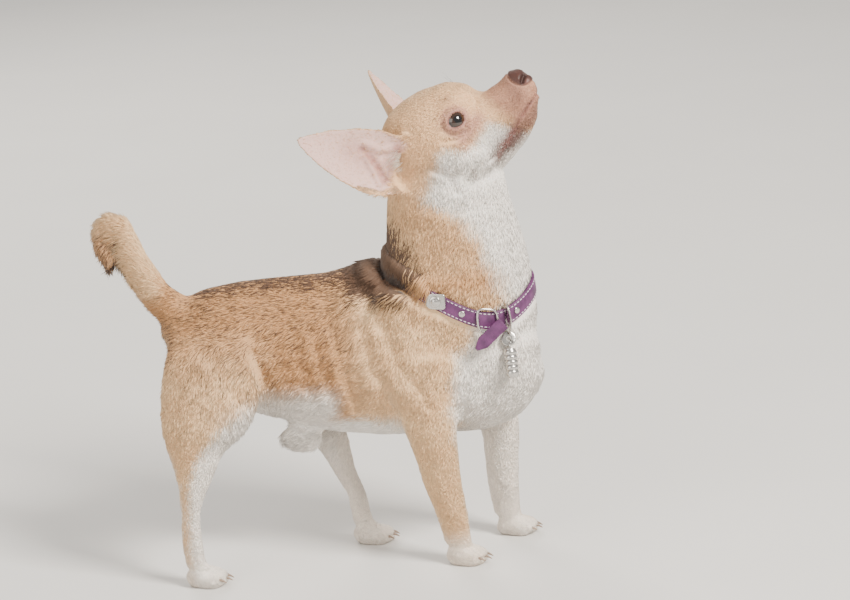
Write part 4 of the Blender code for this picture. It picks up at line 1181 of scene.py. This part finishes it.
# Upper half of the band's cross-section, up it and out of it from -1 to 1, with a groove for the stitches.
STITCH_ROW = 0.75
STRAP_HALF = [(0.9, -1), (0.96, -0.85), (1, -0.4), (1, 0.4), (0.96, 0.82), (0.9, 0.98)]
STRAP_HALF += [(STITCH_ROW + 0.07, 1.0), (STITCH_ROW, 0.84), (STITCH_ROW - 0.07, 1.0)]
STRAP_SECTION = STRAP_HALF + [(0, 1.0)] + [(-w, d) for w, d in reversed(STRAP_HALF)]
STITCH_LONG, STITCH_PITCH, STITCH_RADIUS = 1.9, 2.9, 0.34


def from_neck(corner):
    return np.linalg.norm(corner[:2] - NECK_AXIS)


def strap_corners():
    """Lower inner, upper inner, upper outer and lower outer corner of the band, step by step round it."""
    corners, _ = mesh_arrays(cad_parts["collar_strap"].data)
    corners = np.unique(corners.round(3), axis=0)
    away = corners[:, :2] - NECK_AXIS
    turn = np.arctan2(-away[:, 1], away[:, 0]) / math.tau
    step_of = np.round(turn * STRAP_STEPS).astype(int) % STRAP_STEPS
    rows = []
    for i in range(STRAP_STEPS):
        four = corners[step_of == i]
        four = four[np.argsort(four[:, 2])]
        low, high = (sorted(pair, key=from_neck) for pair in (four[:2], four[2:]))
        rows.append((low[0], high[0], high[1], low[1]))
    return np.array(rows)


def closed_curve(rows, per_span):
    """A smooth closed run through rows of points."""
    out = []
    for k in range(per_span):
        t = k / per_span
        p, q, r, s = (np.roll(rows, shift, axis=0) for shift in (1, 0, -1, -2))
        bend = (2 * p - 5 * q + 4 * r - s) * t**2 + (3 * q - p - 3 * r + s) * t**3
        out.append(q + 0.5 * ((r - p) * t + bend))
    return np.stack(out, 1).reshape(-1, *rows.shape[1:])


leather, nodes, links, shader = new_material("leather")
set_inputs(shader, {"Roughness": 0.48, "Specular IOR Level": 0.45})
mottled(nodes, links, shader, (0.062, 0.016, 0.06), (0.15, 0.04, 0.14), 160, 0.3, 0.75)
place = nodes.new("ShaderNodeTexCoord")
pebble = nodes.new("ShaderNodeTexVoronoi")
pebble.inputs["Scale"].default_value = 1500
grain_height = nodes.new("ShaderNodeBump")
set_inputs(grain_height, {"Strength": 0.3, "Distance": 0.0003})
links.new(place.outputs["Object"], pebble.inputs["Vector"])
links.new(pebble.outputs["Distance"], grain_height.inputs["Height"])
links.new(grain_height.outputs["Normal"], shader.inputs["Normal"])

band = closed_curve(strap_corners(), 5)
middles = band.mean(axis=1)
ups = (band[:, 1] + band[:, 2] - band[:, 0] - band[:, 3]) / 4
outs = (band[:, 2] + band[:, 3] - band[:, 0] - band[:, 1]) / 4
strap_points = [m + u * w + o * d for m, u, o in zip(middles, ups, outs) for w, d in STRAP_SECTION]
strap_faces = ring_faces(len(band), len(STRAP_SECTION), closed=True)
add_piece("strap", strap_points, strap_faces, leather, "collar_strap")
smooth_copy("collar_strap_end", leather, crease=0.5)

thread, _, _, shader = new_material("thread")
set_inputs(shader, {"Base Color": (0.72, 0.62, 0.70, 1), "Roughness": 0.8})
lengths = np.linalg.norm(np.roll(middles, -1, axis=0) - middles, axis=1)
arc = np.concatenate(([0], np.cumsum(lengths)))
laid_out = [np.vstack((rows, rows[:1])) for rows in (middles, ups, outs)]


def on_strap(place, w, d):
    """Point at a place along the band, and up and out of it."""
    at = place % arc[-1]
    m, u, o = (np.array([np.interp(at, arc, rows[:, i]) for i in range(3)]) for rows in laid_out)
    return m + u * w + o * d


stitch_points, stitch_faces = [], []
for w in (-STITCH_ROW, STITCH_ROW):
    for start in np.arange(0, arc[-1] - 2.2, STITCH_PITCH):
        stitch_faces += ring_faces(4, 6, len(stitch_points))
        for share, radius in ((0, 0.12), (0.15, STITCH_RADIUS), (0.85, STITCH_RADIUS), (1, 0.12)):
            place = start + STITCH_LONG * share
            base = on_strap(place, w, 0.95 + 0.06 * math.sin(math.pi * share))
            above, beside = on_strap(place, w, 2.0), on_strap(place, w + 0.1, 1.0)
            rise, across = unit(np.array((above, beside)) - on_strap(place, w, 1.0))
            for turn in np.arange(6) * math.pi / 3:
                stitch_points.append(base + (rise * math.sin(turn) + across * math.cos(turn)) * radius)
add_piece("stitches", stitch_points, stitch_faces, thread)


# Collar metal.
# Nickel-plated steel, a little scratched. The plate is riveted to the strap, the eyelets are pressed into
# it, the buckle and the big ring are threaded on it, and the ridged barrel tag hangs from a ring of its own.
nickel, nodes, links, shader = new_material("nickel")
set_inputs(shader, {"Metallic": 1, "Base Color": (0.58, 0.56, 0.53, 1)})
place = nodes.new("ShaderNodeTexCoord")
scratch = nodes.new("ShaderNodeTexNoise")
scratch.inputs["Scale"].default_value = 900
rubbed = nodes.new("ShaderNodeMapRange")
set_inputs(rubbed, {"To Min": 0.16, "To Max": 0.38})
links.new(place.outputs["Object"], scratch.inputs["Vector"])
links.new(scratch.outputs["Fac"], rubbed.inputs["Value"])
links.new(rubbed.outputs["Result"], shader.inputs["Roughness"])
for name in ("collar_ring", "collar_buckle", "tag_ring"):
    smooth_copy(name, nickel)
for name in ("collar_eyelet_1", "collar_eyelet_2", "collar_rivet"):
    smooth_copy(name, nickel, crease=0.2)
# Plate: square at one end and round at the other, with its edge rolled over.
PLATE_BACK, PLATE_HALF, PLATE_CORNER, ROUND_FROM = 7.0, 5.3, 1.2, 1.7
PLATE_LAYERS = [(-0.4, 1.0), (0.2, 1.0), (0.38, 0.97), (0.42, 0.9)]
corners, _ = mesh_arrays(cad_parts["collar_plate"].data)
middle = np.unique(corners.round(3), axis=0).mean(axis=0)
_, axes = np.linalg.eigh(np.cov((corners - middle).T))
thin, short, long_way = axes.T
back = -long_way * np.sign(long_way[0])
outward = thin * np.sign(thin @ np.array((-1.0, -1.0, 0)))
outline = [(PLATE_CORNER - PLATE_BACK, PLATE_HALF), (-PLATE_BACK, PLATE_HALF - PLATE_CORNER)]
outline += [(x, -y) for x, y in reversed(outline)] + [(ROUND_FROM, -PLATE_HALF)]
for turn in np.radians(np.arange(-75, 76, 15)):
    outline.append((ROUND_FROM + PLATE_HALF * math.cos(turn), PLATE_HALF * math.sin(turn)))
outline.append((ROUND_FROM, PLATE_HALF))
sheet = []
for height, share in PLATE_LAYERS:
    sheet += [middle + (back * x + short * y) * share + outward * height for x, y in outline]
plate_faces = ring_faces(len(PLATE_LAYERS), len(outline))
plate = add_piece("plate", sheet, plate_faces, nickel, "collar_plate")
face_out = bmesh.new()
face_out.from_mesh(plate.data)
bmesh.ops.recalc_face_normals(face_out, faces=face_out.faces)
face_out.to_mesh(plate.data)
face_out.free()
smooth_copy("tag_barrel", nickel, crease=0.25)


# Stage.
# A pale plaster floor, a soft even sky and three large lamps: the key high on the camera's right, a weak
# fill on its left and one behind the dog. The camera looks slightly down at the dog's right side.
floor = bpy.data.meshes.new("floor")
floor.from_pydata([(-4, -4, 0), (4, -4, 0), (4, 4, 0), (-4, 4, 0)], [], [(0, 1, 2, 3)])
plaster, nodes, links, shader = new_material("plaster")
shader.inputs["Roughness"].default_value = 0.85
mottled(nodes, links, shader, (0.74, 0.73, 0.71), (0.79, 0.78, 0.76), 6)
floor.materials.append(plaster)
new_object("floor", floor)

world = bpy.data.worlds.new("studio")
world.use_nodes = True
sky = world.node_tree.nodes["Background"]
set_inputs(sky, {"Color": (0.92, 0.90, 0.87, 1), "Strength": 0.65})
bpy.context.scene.world = world

# Lamps: place, width and power, all turned to the middle of the body.
LAMPS = {
    "key": ((1.4, -1.3, 1.8), 0.7, 114),
    "fill": ((-1.6, -1.6, 1.0), 1.6, 26),
    "back": ((-0.6, 1.8, 1.5), 1.0, 32),
}
LAMP_AIM = Vector((0.02, 0, 0.18))
for name, (place, size, power) in LAMPS.items():
    lamp = bpy.data.lights.new(name, "AREA")
    lamp.size = size
    lamp.energy = power
    lamp.color = (1.0, 0.94, 0.86)
    lamp_ob = new_object(name, lamp)
    lamp_ob.location = place
    lamp_ob.rotation_euler = (LAMP_AIM - Vector(place)).to_track_quat("-Z", "Y").to_euler()

CAMERA_AIM = Vector((0.06893, -0.01442, 0.1808))
CAMERA_AWAY = 2.2
CAMERA_TILT, CAMERA_ROLL = math.radians(15), math.radians(4)
camera = bpy.data.cameras.new("camera")
camera.lens = 137.0
camera.sensor_width = 36
camera_ob = new_object("camera", camera)
behind = Vector((0, -math.cos(CAMERA_TILT), math.sin(CAMERA_TILT)))
level = Vector((1, 0, 0))
above = Vector((0, math.sin(CAMERA_TILT), math.cos(CAMERA_TILT)))
right = level * math.cos(CAMERA_ROLL) - above * math.sin(CAMERA_ROLL)
up = level * math.sin(CAMERA_ROLL) + above * math.cos(CAMERA_ROLL)
turn = Matrix((right, up, behind)).transposed()
camera_ob.matrix_world = Matrix.Translation(CAMERA_AIM + behind * CAMERA_AWAY) @ turn.to_4x4()
bpy.context.scene.camera = camera_ob
